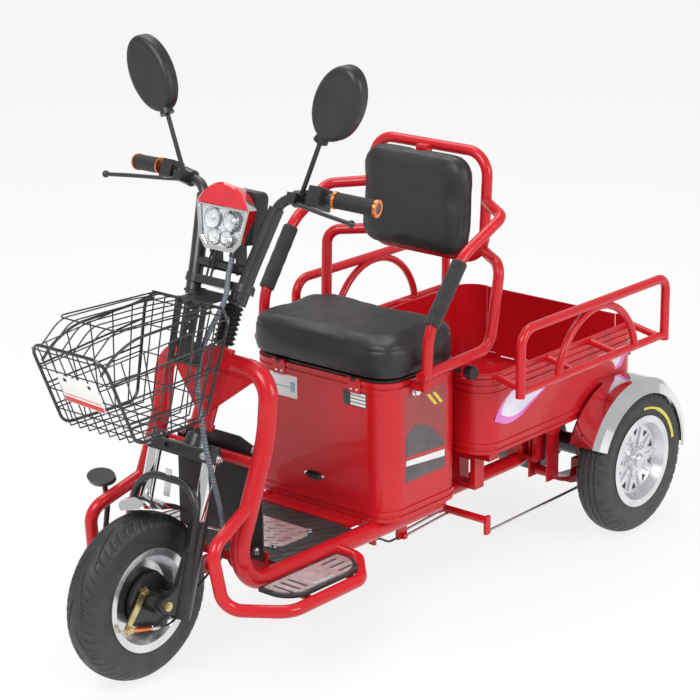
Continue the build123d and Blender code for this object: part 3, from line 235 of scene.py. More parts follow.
def one_vertex(name, place):
    """A plane merged to a single point, left in edit mode to draw from."""
    clear_selection()
    bpy.ops.mesh.primitive_plane_add(size=0.01, location=(0, 0, 0))
    piece = bpy.context.object
    piece.name = name
    bpy.ops.object.mode_set(mode="EDIT")
    bpy.ops.mesh.select_mode(type="VERT")
    bpy.ops.mesh.select_all(action="SELECT")
    bpy.ops.mesh.merge(type="CENTER")
    bpy.ops.transform.translate(value=place)
    return piece


def draw_outline(name, points, closed=True):
    """A chain of edges drawn point by point."""
    piece = one_vertex(name, points[0])
    for last, point in zip(points, points[1:]):
        step = Vector(point) - Vector(last)
        bpy.ops.mesh.extrude_vertices_move(TRANSFORM_OT_translate={"value": step})
    if closed:
        ends = (Vector(points[0]), Vector(points[-1]))
        select_points(piece, lambda vertex: min((vertex.co - end).length for end in ends) < 1e-6)
        bpy.ops.mesh.edge_face_add()
    return piece


def spun(name, points, centre, axis, steps, closed=True, angle=2 * pi):
    """An outline spun round an axis; a part turn has its two ends closed."""
    piece = draw_outline(name, points, closed)
    bpy.ops.mesh.select_all(action="SELECT")
    bpy.ops.mesh.spin(steps=steps, angle=angle, center=centre, axis=axis)
    if angle < 2 * pi:
        bpy.ops.mesh.select_all(action="SELECT")
        bpy.ops.mesh.remove_doubles(threshold=weld_gap)
        bpy.ops.mesh.fill_holes(sides=0)
    leave_edit()
    return smooth(outward(piece))


def lathed(name, profile, steps, closed=False):
    """A profile of radii and heights spun all the way round +Z."""
    points = [(radius, 0, height) for radius, height in profile]
    return spun(name, points, (0, 0, 0), (0, 0, 1), steps, closed)


def rectangle(low_a, high_a, low_b, high_b):
    """The four corners of a rectangle, as pairs."""
    return [(low_a, low_b), (high_a, low_b), (high_a, high_b), (low_a, high_b)]


def plate(name, points, thickness_way, edge=0.0):
    """A flat outline filled and thickened, its edges rounded."""
    piece = draw_outline(name, points)
    bpy.ops.mesh.select_all(action="SELECT")
    bpy.ops.mesh.edge_face_add()
    bpy.ops.mesh.extrude_region_move(TRANSFORM_OT_translate={"value": thickness_way})
    leave_edit()
    outward(piece)
    if edge:
        round_edges(piece, edge)
    return smooth(piece)


def copy_of(template, name, place, way):
    pick(template)
    bpy.ops.object.duplicate()
    piece = bpy.context.object
    piece.name = name
    return set_down(piece, place, way)


def joined(name, pieces):
    clear_selection()
    for piece in pieces:
        piece.select_set(True)
    bpy.context.view_layer.objects.active = pieces[0]
    if len(pieces) > 1:
        bpy.ops.object.join()
    piece = bpy.context.object
    piece.name = name
    return piece


def finish_piece(piece, body, material, replaces=()):
    piece.data.materials.clear()
    piece.data.materials.append(material)
    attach(piece, body)
    if replaces:
        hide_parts(*replaces)
    return piece


# ---------------- shader nodes
def add_node(tree, kind, inputs=None, **settings):
    """A shader node with its settings, each input given a value or another node's output."""
    made = tree.nodes.new(f"ShaderNode{kind}")
    for setting, value in settings.items():
        setattr(made, setting, value)
    for socket, value in (inputs or {}).items():
        if isinstance(value, bpy.types.NodeSocket):
            tree.links.new(value, made.inputs[socket])
        else:
            made.inputs[socket].default_value = value
    return made


def object_place(tree):
    return add_node(tree, "TexCoord").outputs["Object"]


def blended(tree, share, first, second, data_type="RGBA"):
    inputs = {"Factor": share, "A": first, "B": second}
    return add_node(tree, "Mix", inputs, data_type=data_type).outputs["Result"]


def mapped(tree, value, ends):
    return add_node(tree, "MapRange", {"Value": value, **ends}).outputs["Result"]


def calculated(tree, operation, *numbers, **settings):
    return add_node(tree, "Math", dict(enumerate(numbers)), operation=operation, **settings).outputs["Value"]


def bumped(tree, shader, strength, distance, height, under=None):
    """Joins a bump to a shader's normal, over the normal given."""
    inputs = {"Strength": strength, "Distance": distance, "Height": height}
    bump = add_node(tree, "Bump", {**inputs, "Normal": under} if under else inputs)
    tree.links.new(bump.outputs["Normal"], shader.inputs["Normal"])


def value_group(name, **inputs):
    """A node group with named numbers going in, and its input sockets."""
    group = bpy.data.node_groups.new(name, "ShaderNodeTree")
    for label, default in inputs.items():
        socket = group.interface.new_socket(name=label, in_out="INPUT", socket_type="NodeSocketFloat")
        socket.default_value = default
    group.interface.new_socket(name="Value", in_out="OUTPUT", socket_type="NodeSocketFloat")
    return group, group.nodes.new("NodeGroupInput").outputs


def putting_out(group, socket):
    group.links.new(socket, group.nodes.new("NodeGroupOutput").inputs["Value"])
    return group


def make_cloudiness():
    """Slow change over the surface, from Low to High."""
    group, given = value_group("Cloudiness", Scale=6.0, Low=0.3, High=0.5)
    noise = add_node(group, "TexNoise", {"Vector": object_place(group), "Scale": given["Scale"], "Detail": 5})
    ends = {"From Min": 0.3, "From Max": 0.7, "To Min": given["Low"], "To Max": given["High"]}
    return putting_out(group, mapped(group, noise.outputs["Fac"], ends))


def make_grain():
    """Leather-like or moulded grain, as a height."""
    group, given = value_group("Grain", Scale=400.0, Roughening=0.5)
    place = object_place(group)
    spacing = given["Scale"]
    cells = add_node(group, "TexVoronoi", {"Vector": place, "Scale": spacing}, feature="DISTANCE_TO_EDGE")
    noise = add_node(group, "TexNoise", {"Vector": place, "Scale": spacing, "Detail": 3})
    blend = blended(group, given["Roughening"], cells.outputs["Distance"], noise.outputs["Fac"], "FLOAT")
    return putting_out(group, blend)


def make_road_dust():
    """A mask that grows towards the floor, broken up by noise."""
    group, given = value_group("Road_Dust", Top=0.35, Strength=0.5)
    place = object_place(group)
    height = add_node(group, "SeparateXYZ", {"Vector": place}).outputs["Z"]
    falling = mapped(group, height, {"From Max": given["Top"], "To Min": 1, "To Max": 0})
    noise = add_node(group, "TexNoise", {"Vector": place, "Scale": 38, "Detail": 6})
    broken = calculated(group, "MULTIPLY", noise.outputs["Fac"], falling)
    return putting_out(group, calculated(group, "MULTIPLY", broken, given["Strength"]))


cloudiness = make_cloudiness()
grain = make_grain()
road_dust = make_road_dust()
dust_colour = (0.32, 0.29, 0.25, 1)


# ---------------- materials
def use_group(tree, group, **values):
    made = add_node(tree, "Group", node_tree=group)
    for label, value in values.items():
        made.inputs[label].default_value = value
    return made.outputs["Value"]


def new_material(name):
    material = bpy.data.materials.new(name)
    material.use_nodes = True
    return material


def parts_of(material):
    """A material's node tree and its Principled shader."""
    return material.node_tree, material.node_tree.nodes["Principled BSDF"]


def feeding(shader, label):
    """The output that a shader's input is joined to."""
    return shader.inputs[label].links[0].from_socket


def surface(name, dark, light, rough, clouds=6.0, metallic=0.0, specular=0.5, coat=0.0, coat_rough=0.05,
            grained=None, dust=0.0, dust_top=0.35, sheen=0.0):
    """A finish whose colour and roughness drift, with dust and a grain of scale, strength and noise."""
    material = new_material(name)
    tree, shader = parts_of(material)
    shader.inputs["Metallic"].default_value = metallic
    shader.inputs["Specular IOR Level"].default_value = specular
    if coat:
        shader.inputs["Coat Weight"].default_value = coat
        shader.inputs["Coat Roughness"].default_value = coat_rough
    if sheen:
        shader.inputs["Sheen Weight"].default_value = sheen
    drift = use_group(tree, cloudiness, Scale=clouds, Low=0.0, High=1.0)
    colour = blended(tree, drift, (*dark, 1), (*light, 1))
    gloss = use_group(tree, cloudiness, Scale=clouds * 2.7, Low=rough[0], High=rough[1])
    tree.links.new(gloss, shader.inputs["Roughness"])
    if dust:
        colour = blended(tree, use_group(tree, road_dust, Top=dust_top, Strength=dust), colour, dust_colour)
    tree.links.new(colour, shader.inputs["Base Color"])
    if grained:
        scale, strength, roughening = grained
        bumped(tree, shader, strength, 0.001, use_group(tree, grain, Scale=scale, Roughening=roughening))
    return material


def glass(name, colour, roughness):
    material = new_material(name)
    tree, shader = parts_of(material)
    shader.inputs["Base Color"].default_value = (*colour, 1)
    shader.inputs["Transmission Weight"].default_value = 1.0
    shader.inputs["IOR"].default_value = 1.45
    gloss = use_group(tree, cloudiness, Scale=30.0, Low=roughness, High=roughness + 0.03)
    tree.links.new(gloss, shader.inputs["Roughness"])
    return material


# Paints
red_paint = surface(
    "Gloss_Red_Paint", (0.50, 0.006, 0.012), (0.60, 0.010, 0.018), (0.24, 0.34), 3,
    specular=0.28, coat=0.35, grained=(260, 0.035, 1.0)
)
black_paint = surface(
    "Satin_Black_Paint", (0.012, 0.012, 0.014), (0.024, 0.025, 0.028), (0.28, 0.42), 9,
    coat=0.3, coat_rough=0.2, grained=(700, 0.06, 1.0)
)
black_wire = surface(
    "Black_Coated_Wire", (0.008, 0.008, 0.010), (0.020, 0.021, 0.026), (0.22, 0.34), 30,
    coat=0.4, coat_rough=0.1, grained=(500, 0.05, 0.5)
)
lamp_cap_red = surface("Lamp_Cap_Red", (0.58, 0.006, 0.018), (0.72, 0.012, 0.030), (0.06, 0.12), 20, coat=1.0)
horn_red = surface("Horn_Enamel", (0.42, 0.012, 0.012), (0.52, 0.02, 0.02), (0.2, 0.34), 22, coat=0.6)
white_enamel = surface("White_Plate_Enamel", (0.82, 0.81, 0.79), (0.88, 0.87, 0.85), (0.3, 0.42), 14)
red_band = surface("Red_Plate_Band", (0.60, 0.02, 0.02), (0.68, 0.03, 0.03), (0.3, 0.42), 14)
yellow_mark = surface("Yellow_Mark", (0.62, 0.55, 0.06), (0.74, 0.66, 0.10), (0.4, 0.52), 60)

# Metals
chrome = surface("Bright_Chrome", (0.78, 0.79, 0.80), (0.88, 0.88, 0.89), (0.03, 0.09), 14, metallic=1.0)
fender_chrome = surface(
    "Fender_Chrome", (0.76, 0.77, 0.79), (0.88, 0.88, 0.90), (0.05, 0.13), 10, metallic=1.0
)
zinc = surface(
    "Yellow_Zinc", (0.56, 0.44, 0.17), (0.74, 0.66, 0.38), (0.22, 0.38), 60, metallic=1.0,
    grained=(900, 0.05, 0.5)
)
bright_zinc = surface("Bright_Zinc", (0.55, 0.56, 0.58), (0.72, 0.73, 0.75), (0.2, 0.34), 60, metallic=1.0)
tread_steel = surface(
    "Pressed_Steel", (0.66, 0.65, 0.66), (0.82, 0.81, 0.82), (0.26, 0.42), 20, metallic=0.75,
    grained=(300, 0.05, 1.0)
)
cast_rim = surface(
    "Cast_Aluminium", (0.66, 0.67, 0.69), (0.80, 0.81, 0.83), (0.22, 0.34), 18, metallic=0.85,
    grained=(800, 0.06, 0.8)
)
polished_rim = surface(
    "Polished_Rim", (0.72, 0.73, 0.75), (0.84, 0.85, 0.87), (0.14, 0.26), 16, metallic=0.85
)
copper = surface("Anodised_Copper", (0.78, 0.17, 0.035), (0.90, 0.25, 0.06), (0.18, 0.3), 40, metallic=0.9)
mirror_silver = surface("Mirror_Silver", (0.86, 0.87, 0.88), (0.90, 0.91, 0.92), (0.01, 0.03), metallic=1.0)
lamp_silver = surface("Lamp_Silver", (0.78, 0.80, 0.82), (0.90, 0.91, 0.93), (0.08, 0.16), 60, metallic=0.9)
lamp_grey = surface("Lamp_Ring_Grey", (0.16, 0.17, 0.19), (0.28, 0.29, 0.31), (0.2, 0.3), 60, metallic=0.6)

# Rubbers, plastics, foam and vinyl
tyre_rubber = surface(
    "Tyre_Rubber", (0.016, 0.017, 0.019), (0.030, 0.031, 0.035), (0.42, 0.6), 24,
    grained=(900, 0.12, 0.8), dust=0.22, dust_top=0.3
)
floor_rubber = surface(
    "Mat_Rubber", (0.016, 0.017, 0.019), (0.032, 0.033, 0.037), (0.45, 0.62), 20, grained=(600, 0.12, 0.5)
)
grip_rubber = surface(
    "Grip_Rubber", (0.010, 0.010, 0.011), (0.020, 0.020, 0.022), (0.5, 0.65), 40, grained=(1200, 0.15, 0.5)
)
foam = surface(
    "Foam_Sleeve", (0.012, 0.012, 0.014), (0.024, 0.024, 0.027), (0.62, 0.8), 30,
    grained=(1400, 0.3, 0.5), sheen=0.2
)
vinyl = surface(
    "Seat_Vinyl", (0.012, 0.012, 0.014), (0.022, 0.022, 0.025), (0.36, 0.5), 10, grained=(520, 0.28, 0.25)
)
black_plastic = surface(
    "Moulded_Black_Plastic", (0.012, 0.012, 0.013), (0.022, 0.022, 0.024), (0.34, 0.48), 16,
    grained=(900, 0.10, 0.5)
)
cable_black = surface(
    "Cable_Sheath", (0.012, 0.012, 0.013), (0.024, 0.024, 0.027), (0.3, 0.44), 40, grained=(900, 0.06, 0.5)
)
battery_case = surface("Battery_Case", (0.03, 0.032, 0.036), (0.05, 0.052, 0.058), (0.4, 0.55), 12)

# Labels, decals and lenses
label_white = surface("Label_White", (0.78, 0.78, 0.78), (0.84, 0.84, 0.83), (0.3, 0.4), 40)
label_blue = surface("Label_Pale_Blue", (0.20, 0.42, 0.62), (0.28, 0.50, 0.70), (0.3, 0.4), 40)
label_black = surface("Label_Black", (0.015, 0.015, 0.018), (0.03, 0.03, 0.034), (0.3, 0.4), 40)
panel_red = surface("Panel_Dark_Red", (0.26, 0.016, 0.018), (0.34, 0.028, 0.030), (0.26, 0.36), 30, coat=0.4)
panel_grey = surface(
    "Panel_Dark_Grey", (0.055, 0.045, 0.050), (0.10, 0.085, 0.090), (0.26, 0.36), 26, coat=0.4
)
magenta_decal = surface("Magenta_Decal", (0.62, 0.10, 0.50), (0.80, 0.26, 0.66), (0.2, 0.3), 12, coat=0.5)
lilac_decal = surface("Lilac_Decal", (0.62, 0.60, 0.76), (0.84, 0.80, 0.88), (0.2, 0.3), 12, coat=0.5)
clear_lens = glass("Clear_Lens", (0.97, 0.98, 0.98), 0.02)
red_lens = glass("Red_Lens", (0.75, 0.02, 0.02), 0.05)


def spiral_wrap():
    """A ribbed band wound round the harness: pale turns with dark seams, along the cable's own length."""
    turns_along = 96.0
    material = surface(
        "Harness_Spiral_Wrap", (0.10, 0.12, 0.15), (0.17, 0.19, 0.22), (0.3, 0.42), 50,
        grained=(700, 0.05, 0.5)
    )
    tree, shader = parts_of(material)
    split = add_node(tree, "SeparateXYZ", {"Vector": add_node(tree, "TexCoord").outputs["UV"]})
    turns = calculated(tree, "MULTIPLY_ADD", split.outputs["X"], turns_along, split.outputs["Y"])
    seam = mapped(tree, calculated(tree, "PINGPONG", turns, 0.5), {"From Min": 0.02, "From Max": 0.14})
    shade = blended(tree, seam, (0.010, 0.011, 0.013, 1), feeding(shader, "Base Color"))
    tree.links.new(shade, shader.inputs["Base Color"])
    bumped(tree, shader, 0.8, 0.0008, seam)
    return material


def ribbed(material, scale, distortion, depth, turn=0.0):
    """Adds moulded ribs, straight or waving, under a finish's own grain."""
    tree, shader = parts_of(material)
    turning = add_node(tree, "Mapping", {"Vector": object_place(tree), "Rotation": (0, 0, radians(turn))})
    shape = {"Vector": turning.outputs["Vector"], "Scale": scale, "Distortion": distortion, "Detail": 0}
    ribs = add_node(tree, "TexWave", shape, bands_direction="Y")
    bumped(tree, shader, 0.9, depth, ribs.outputs["Fac"], under=feeding(shader, "Normal"))


def silvered_above(material, height):
    """Yellow plating low down, plain silver plating above the given height."""
    tree, shader = parts_of(material)
    level = add_node(tree, "SeparateXYZ", {"Vector": object_place(tree)}).outputs["Z"]
    share = mapped(tree, level, {"From Min": height - 0.002, "From Max": height + 0.002})
    mixed = blended(tree, share, feeding(shader, "Base Color"), (0.70, 0.71, 0.73, 1))
    tree.links.new(mixed, shader.inputs["Base Color"])


harness_wrap = spiral_wrap()
ribbed(floor_rubber, scale=11.0, distortion=2.5, depth=0.0030, turn=25)
ribbed(grip_rubber, scale=60.0, distortion=0.0, depth=0.0010)
silvered_above(zinc, 0.262)

finish_of_slot = {
    "red_paint": red_paint, "black_paint": black_paint, "black_wire": black_wire, "chrome": chrome,
    "zinc_plate": zinc, "tread_steel": tread_steel, "cast_rim": cast_rim, "copper_collar": copper,
    "tyre": tyre_rubber, "floor_rubber": floor_rubber, "grip_rubber": grip_rubber, "foam_sleeve": foam,
    "seat_vinyl": vinyl, "black_plastic": black_plastic, "battery_case": battery_case, "horn_red": horn_red,
    "red_lens": red_lens, "clear_lens": clear_lens, "mirror_glass": mirror_silver,
    "cable_black": cable_black, "harness_wrap": harness_wrap,
}
finish_of_node = {
    "front_rim": polished_rim, "front_hub": black_plastic, "front_fender": fender_chrome,
    "rear_fenders": fender_chrome, "headlamp_visor": lamp_cap_red, "seat_hinges": red_paint,
}
for node in nodes.values():
    for place in node.material_slots:
        base = place.material.name.split(".")[0]
        place.material = finish_of_slot.get(base, black_plastic)
for name, finish in finish_of_node.items():
    nodes[name].material_slots[0].material = finish

for cable, body, slot in held_cables:
    finish_piece(cable, body, finish_of_slot[slot], [cable.name.lower()])


# ---------------- tyres
tread_start = 0.1545
shoulder_drop = 0.0215
shoulder_power = 2.7
crown_step = 0.0013
wall_slope = 1.6


def crown_radius(across):
    """The tread's radius, falling off towards the shoulders."""
    return tyre_radius - shoulder_drop * (abs(across) / tyre_half) ** shoulder_power


def tyre_outline(axle, centre_y):
    """The tyre's section, bead to bead, in the plane through its axle."""
    half = [(0.103, 0.0370), (0.106, 0.0378), (0.112, 0.0384), (0.1165, 0.0387), (0.1180, 0.0395),
            (0.1200, 0.0395), (0.1215, 0.0389), (0.132, 0.0402), (0.145, 0.0409), (0.153, 0.0405),
            (0.159, 0.0395)]
    crown = [(crown_radius(crown_step * step), crown_step * step) for step in range(-28, 29)]
    section = [(r, -y) for r, y in half] + crown + [(r, y) for r, y in reversed(half)]
    return [(axle.x, centre_y + y, axle.z + r) for r, y in section]


def near(value, target, width):
    """1 in the middle of a groove, 0 outside it, with sloping walls."""
    return max(0.0, min(1.0, wall_slope - abs(value - target) / width * wall_slope))


def street_groove(along, across):
    """Long waving grooves with short curved sipes to the shoulder, in millimetres."""
    pitch = 113.1
    wave_length, wave_foot, wave_reach, wave_width = 108, 5, 17, 1.9
    sipe_foot, sipe_reach, sipe_width = 17, 21, 2.3
    along = (along + (pitch / 2 if across < 0 else 0)) % pitch
    across = abs(across)
    depth = 0.0
    for start in (0, -pitch):
        way = (along - start) / wave_length
        if 0 <= way <= 1:
            sway = way * way * (3 - 2 * way)
            fade = min(1.0, way * 9, (1 - way) * 9)
            depth = max(depth, fade * near(across, wave_foot + wave_reach * sway, wave_width))
    reach = (across - sipe_foot) / sipe_reach
    if 0 <= reach <= 1:
        fade = min(1.0, reach * 5)
        for sipe in range(5):
            foot = sipe * pitch / 5 + 6
            for start in (foot, foot - pitch):
                depth = max(depth, fade * near(along, start + sipe_reach * reach ** 0.6, sipe_width))
    return depth


def cargo_groove(along, across):
    """Straight ribs round the middle and slanted notches on the shoulders, in millimetres."""
    pitch = 26.93
    notch_foot = 23
    depth = 0.0
    zigzag = 1.3 * abs((along % pitch) / pitch * 2 - 1)
    for rib in (7.5, 19.5):
        depth = max(depth, near(abs(across), rib + zigzag, 1.9))
    if abs(across) > notch_foot:
        reach = (abs(across) - notch_foot) / 16
        lean = (along + (pitch / 2 if across < 0 else 0) - 7 * reach) % pitch
        depth = max(depth, near(lean, pitch / 2, 3.6) * min(1.0, reach * 4))
    return depth


def make_tyre(name, axle, centre_y, groove, depth, node, body, steps):
    centre = (axle.x, centre_y, axle.z)
    tyre = spun(name, tyre_outline(axle, centre_y), centre, (0, 1, 0), steps, closed=False)

    def cut(place, normal):
        away = Vector((place.x - axle.x, 0, place.z - axle.z))
        if away.length <= tread_start:
            return Vector()
        turn = Vector((1, 0)).angle_signed(Vector((away.x, away.z))) % (2 * pi)
        hollow = groove(turn * tyre_radius * 1000, (place.y - centre_y) * 1000) * depth
        return -away.normalized() * hollow

    reshape(tyre, cut)
    smooth(tyre, 60)
    return finish_piece(tyre, body, tyre_rubber, [node])


make_tyre("Front_Tyre_Tread", front_axle, 0.0, street_groove, 0.0038, "front_tyre", "front_wheel", 400)
for side_name, side in both_sides:
    make_tyre(f"Rear_Tyre_Tread_{side_name}", rear_axle, side * rear_half_track, cargo_groove, 0.0042,
              f"rear_tyre_{side_name}", f"rear_wheel_{side_name}", 336)

# ---------------- soft goods
pad_voxel = 0.006
pad_pressure = 2.0
puff_steps = 20
puff_limit = 0.006
seam_width = 0.0022


def inflated(name, node, shrink, held, body):
    """A padded copy of a plain node: remeshed, blown up a little as cloth, and capped."""
    clear_selection()
    pad = bpy.data.objects.new(name, nodes[node].data.copy())
    bpy.context.scene.collection.objects.link(pad)
    edit(pad)
    bpy.ops.mesh.select_all(action="SELECT")
    bpy.ops.mesh.remove_doubles(threshold=0.0002)
    bpy.ops.mesh.normals_make_consistent(inside=False)
    bpy.ops.transform.shrink_fatten(value=-shrink)
    leave_edit()
    apply_modifier(pad, "REMESH", mode="VOXEL", voxel_size=pad_voxel)
    start = [vertex.co.copy() for vertex in pad.data.vertices]
    group = pad.vertex_groups.new(name="held")
    group.add([v.index for v in pad.data.vertices if held(v.co)], 1.0, "REPLACE")
    pick(pad)
    cloth = pad.modifiers.new("Cloth", "CLOTH")
    cloth.settings.use_pressure = True
    cloth.settings.uniform_pressure_force = pad_pressure
    cloth.settings.effector_weights.gravity = 0
    cloth.settings.vertex_group_mass = "held"
    cloth.settings.tension_stiffness = 20
    cloth.settings.bending_stiffness = 2
    for step in range(puff_steps):
        bpy.context.scene.frame_set(step + 1)
    bpy.ops.object.modifier_apply(modifier="Cloth")
    bpy.context.scene.frame_set(1)
    for vertex, before in zip(pad.data.vertices, start):
        moved = vertex.co - before
        if moved.length > puff_limit:
            vertex.co = before + moved * (puff_limit / moved.length)
    apply_modifier(pad, "SMOOTH", factor=0.5, iterations=18)
    apply_modifier(pad, "SUBSURF", levels=1, render_levels=1)
    smooth(pad, 80)
    finish_piece(pad, body, vinyl, [node])
    return pad


def sewn_channel(pad, distance, depth):
    """Draws a stitched line into a pad where distance(place) is near zero."""
    reshape(pad, lambda place, normal: -normal * depth * exp(-(distance(place) / seam_width) ** 2))


cushion_low, cushion_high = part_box("seat_cushion")
cushion = inflated("Seat_Cushion_Padded", "seat_cushion", 0.004, lambda co: co.z < cushion_low.z + 0.014,
                   "seat_lid")
sewn_channel(cushion, lambda co: co.z - (cushion_high.z - 0.024), 0.0022)
sewn_channel(cushion, lambda co: co.z - (cushion_low.z + 0.012), 0.0016)
back_of_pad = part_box("backrest_pad")[0].x
backrest = inflated("Backrest_Padded", "backrest_pad", 0.003, lambda co: co.x < back_of_pad + 0.016,
                    "chassis")
pad_normal = Vector((1, 0, 0.062)).normalized()
pad_foot = Vector((-0.264, 0, 0.848))
sewn_channel(backrest, lambda co: (co - pad_foot).dot(pad_normal) - 0.034, 0.0022)


def make_sleeve(name, side):
    """A foam tube with slightly puffed ends on each sloping arm."""
    top = Vector((-0.088, side * 0.2464, 0.777))
    low = Vector((0.006, side * 0.2413, 0.651))
    length = (top - low).length
    radius, swell, swells, rings = 0.01765, 0.0004, 9, 26
    profile = [(0.0133, 0.001), (0.0155, 0.0004), (0.0172, 0.0020)]
    for share in [step / rings for step in range(1, rings)]:
        profile.append((radius + swell * sin(swells * pi * share) * sin(pi * share), length * share))
    profile += [(0.0172, length - 0.0020), (0.0155, length - 0.0004), (0.0133, length - 0.001)]
    return set_down(lathed(name, profile, 40, closed=True), low, top - low)


for sleeve in [make_sleeve(f"Foam_Sleeve_{side_name}", side) for side_name, side in both_sides]:
    finish_piece(sleeve, "chassis", foam, ["arm_sleeves"])


# ---------------- wire work
def wire(name, points, thickness, corner=0.0, rounds=3):
    """A bent wire: a chain of edges, its corners rounded, given a round section."""
    piece = draw_outline(name, points, closed=False)
    if corner:
        select_points(piece, lambda vertex: len(vertex.link_edges) == 2)
        bpy.ops.mesh.bevel(affect="VERTICES", offset=corner, segments=rounds, offset_type="OFFSET")
    leave_edit()
    pick(piece)
    bpy.ops.object.convert(target="CURVE")
    piece.data.dimensions = "3D"
    piece.data.bevel_depth = thickness / 2
    piece.data.bevel_resolution = 2
    piece.data.use_fill_caps = True
    bpy.ops.object.convert(target="MESH")
    return smooth(outward(piece), 60)


def basket_lid():
    """The sprung lid: six long wires, an edge loop, a hinge wire and two bars."""
    wires = []
    for y in (-0.080, -0.050, -0.020, 0.010, 0.040, 0.070):
        run = [(0.506, y, 0.778), (0.600, y, 0.7855), (0.786, y, 0.7895), (0.838, y, 0.748)]
        wires.append(wire("Lid_Wire", run, 0.0032, 0.020))
    edge = [(0.508, -0.092, 0.781), (0.784, -0.092, 0.792), (0.784, 0.084, 0.792), (0.508, 0.084, 0.781)]
    wires.append(wire("Lid_Edge", edge, 0.0036, 0.022, rounds=5))
    wires.append(wire("Lid_Hinge_Wire", [(0.5075, -0.100, 0.782), (0.5075, 0.100, 0.782)], 0.0036))
    for y in (-0.088, 0.080):
        run = [(0.520, y, 0.772), (0.740, y, 0.766), (0.800, y, 0.742), (0.832, y, 0.712)]
        wires.append(wire("Lid_Bar", run, 0.0062, 0.022))
    return joined("Basket_Lid_Wires", wires)


def basket_sides():
    """Three bowed wires along each side of the basket, front to rear."""
    bow = 0.006
    wires = []
    for side in (1, -1):
        for front, rear, thickness in (
            ((0.826, 0.1055, 0.698), (0.520, 0.118, 0.722), 0.0048),
            ((0.808, 0.1055, 0.655), (0.534, 0.113, 0.668), 0.0042),
            ((0.786, 0.1055, 0.606), (0.549, 0.106, 0.610), 0.0036),
        ):
            run = [
                (front[0], side * front[1], front[2]),
                ((front[0] + rear[0]) / 2, side * (front[1] + bow), (front[2] + rear[2]) / 2 - 0.001),
                (rear[0], side * rear[1], rear[2]),
            ]
            wires.append(wire("Side_Wire", run, thickness, 0.06, rounds=4))
    return joined("Basket_Side_Wires", wires)


finish_piece(basket_lid(), "steering", black_wire)
finish_piece(basket_sides(), "steering", black_wire)


# ---------------- fasteners and trim
def make_bolt(name, across, height):
    """A hex bolt head with a chamfered top on its washer, standing on the origin along +Z."""
    washer_top = 0.0014
    wide = across * 0.86
    profile = [(0, -0.0006), (wide, -0.0006), (wide, 0.0010), (across * 0.8, washer_top), (0, washer_top)]
    washer = lathed(f"{name}_washer", profile, 20)
    clear_selection()
    bpy.ops.mesh.primitive_cylinder_add(vertices=6, radius=across * 0.577, depth=height,
                                        location=(0, 0, 0.0012 + height / 2))
    head = bpy.context.object
    edit(head)
    select_faces(head, lambda normal: normal.z > 0.9)
    bpy.ops.mesh.inset(thickness=across * 0.09, depth=height * 0.12)
    bpy.ops.mesh.inset(thickness=across * 0.12, depth=-height * 0.06)
    leave_edit()
    round_edges(head, 0.0003)
    return smooth(joined(name, [washer, head]), 30)


def make_dome(name, radius, height):
    """A domed rivet or screw head on the origin along +Z."""
    dome = [(radius * cos(step * pi / 16), height * sin(step * pi / 16)) for step in range(8)]
    return lathed(name, [(0, -0.0006), (radius, -0.0006), *dome, (0, height)], 20)


def spread(template, name, seats, body, material):
    """Copies of a piece on its seats, each given as a place and the way its head points."""
    copies = [copy_of(template, f"{name}_{number}", place, way) for number, (place, way) in enumerate(seats)]
    return finish_piece(joined(name, copies), body, material)


bolt = make_bolt("Bolt_10", 0.010, 0.0055)
rivet = make_dome("Rivet", 0.0032, 0.0018)
screw = make_dome("Screw", 0.0045, 0.0022)
hub_cap = lathed("Hub_Cap", [
    (0, -0.012), (0.0102, -0.012), (0.0102, 0.0002), (0.0165, 0.0002), (0.0168, 0.0022), (0.0150, 0.0060),
    (0.0118, 0.0082), (0.0060, 0.0092), (0, 0.0096),
], 40)
ball_lock = lathed("Ball_Lock", [
    (0, -0.001), (0.0095, -0.001), (0.0095, 0.0016), (0.0062, 0.0024), (0.0058, 0.0040), (0.0076, 0.0062),
    (0.0082, 0.0090), (0.0074, 0.0120), (0.0050, 0.0144), (0, 0.0154),
], 32)

floor_seats = []
crown_seats = []
hinge_seats = []
for side in (1, -1):
    floor_seats += [
        ((0.242, side * 0.092, 0.211), up_way),
        ((0.358, side * 0.092, 0.211), up_way),
        ((0.425, side * 0.104, 0.226), front_way),
        ((0.425, side * 0.104, 0.452), front_way),
    ]
    crown_seats += [
        (on_fork(58, side * 79, 317), ahead_way),
        (on_fork(33, side * 100, 317), left_way * side),
        (on_fork(45, side * 60, 331), steer_way),
    ]
    hinge_seats += [((0.1112, side * y, 0.508), front_way) for y in (0.102, 0.118)]
spread(bolt, "Floor_Bolts", floor_seats, "chassis", bright_zinc)
spread(bolt, "Crown_Bolts", crown_seats, "steering", bright_zinc)
spread(rivet, "Lid_Hinge_Rivets", hinge_seats, "chassis", chrome)


def on_rear_wheel(radius, turn, y):
    """A point at a radius and a turn round the rear axle, y to the left of the middle."""
    return (rear_axle.x + radius * cos(turn), y, rear_axle.z + radius * sin(turn))


def tyre_mark(name, side):
    """The yellow mark on a rear tyre's outer wall, and the tail of it drawn thin."""
    wall, proud = side * (rear_half_track + 0.0394), side * (rear_half_track + 0.0408)
    start = 168 if side > 0 else 12
    strips = []
    for low, high, begin, length in ((0.1262, 0.1350, 0, 52), (0.1278, 0.1334, 52, 26)):
        turn = radians(start - side * begin)
        points = [on_rear_wheel(radius, turn, y) for radius, y in rectangle(low, high, wall, proud)]
        strips.append(spun(f"{name}_strip", points, rear_axle, (0, -side, 0), 28, angle=radians(length)))
    return joined(name, strips)


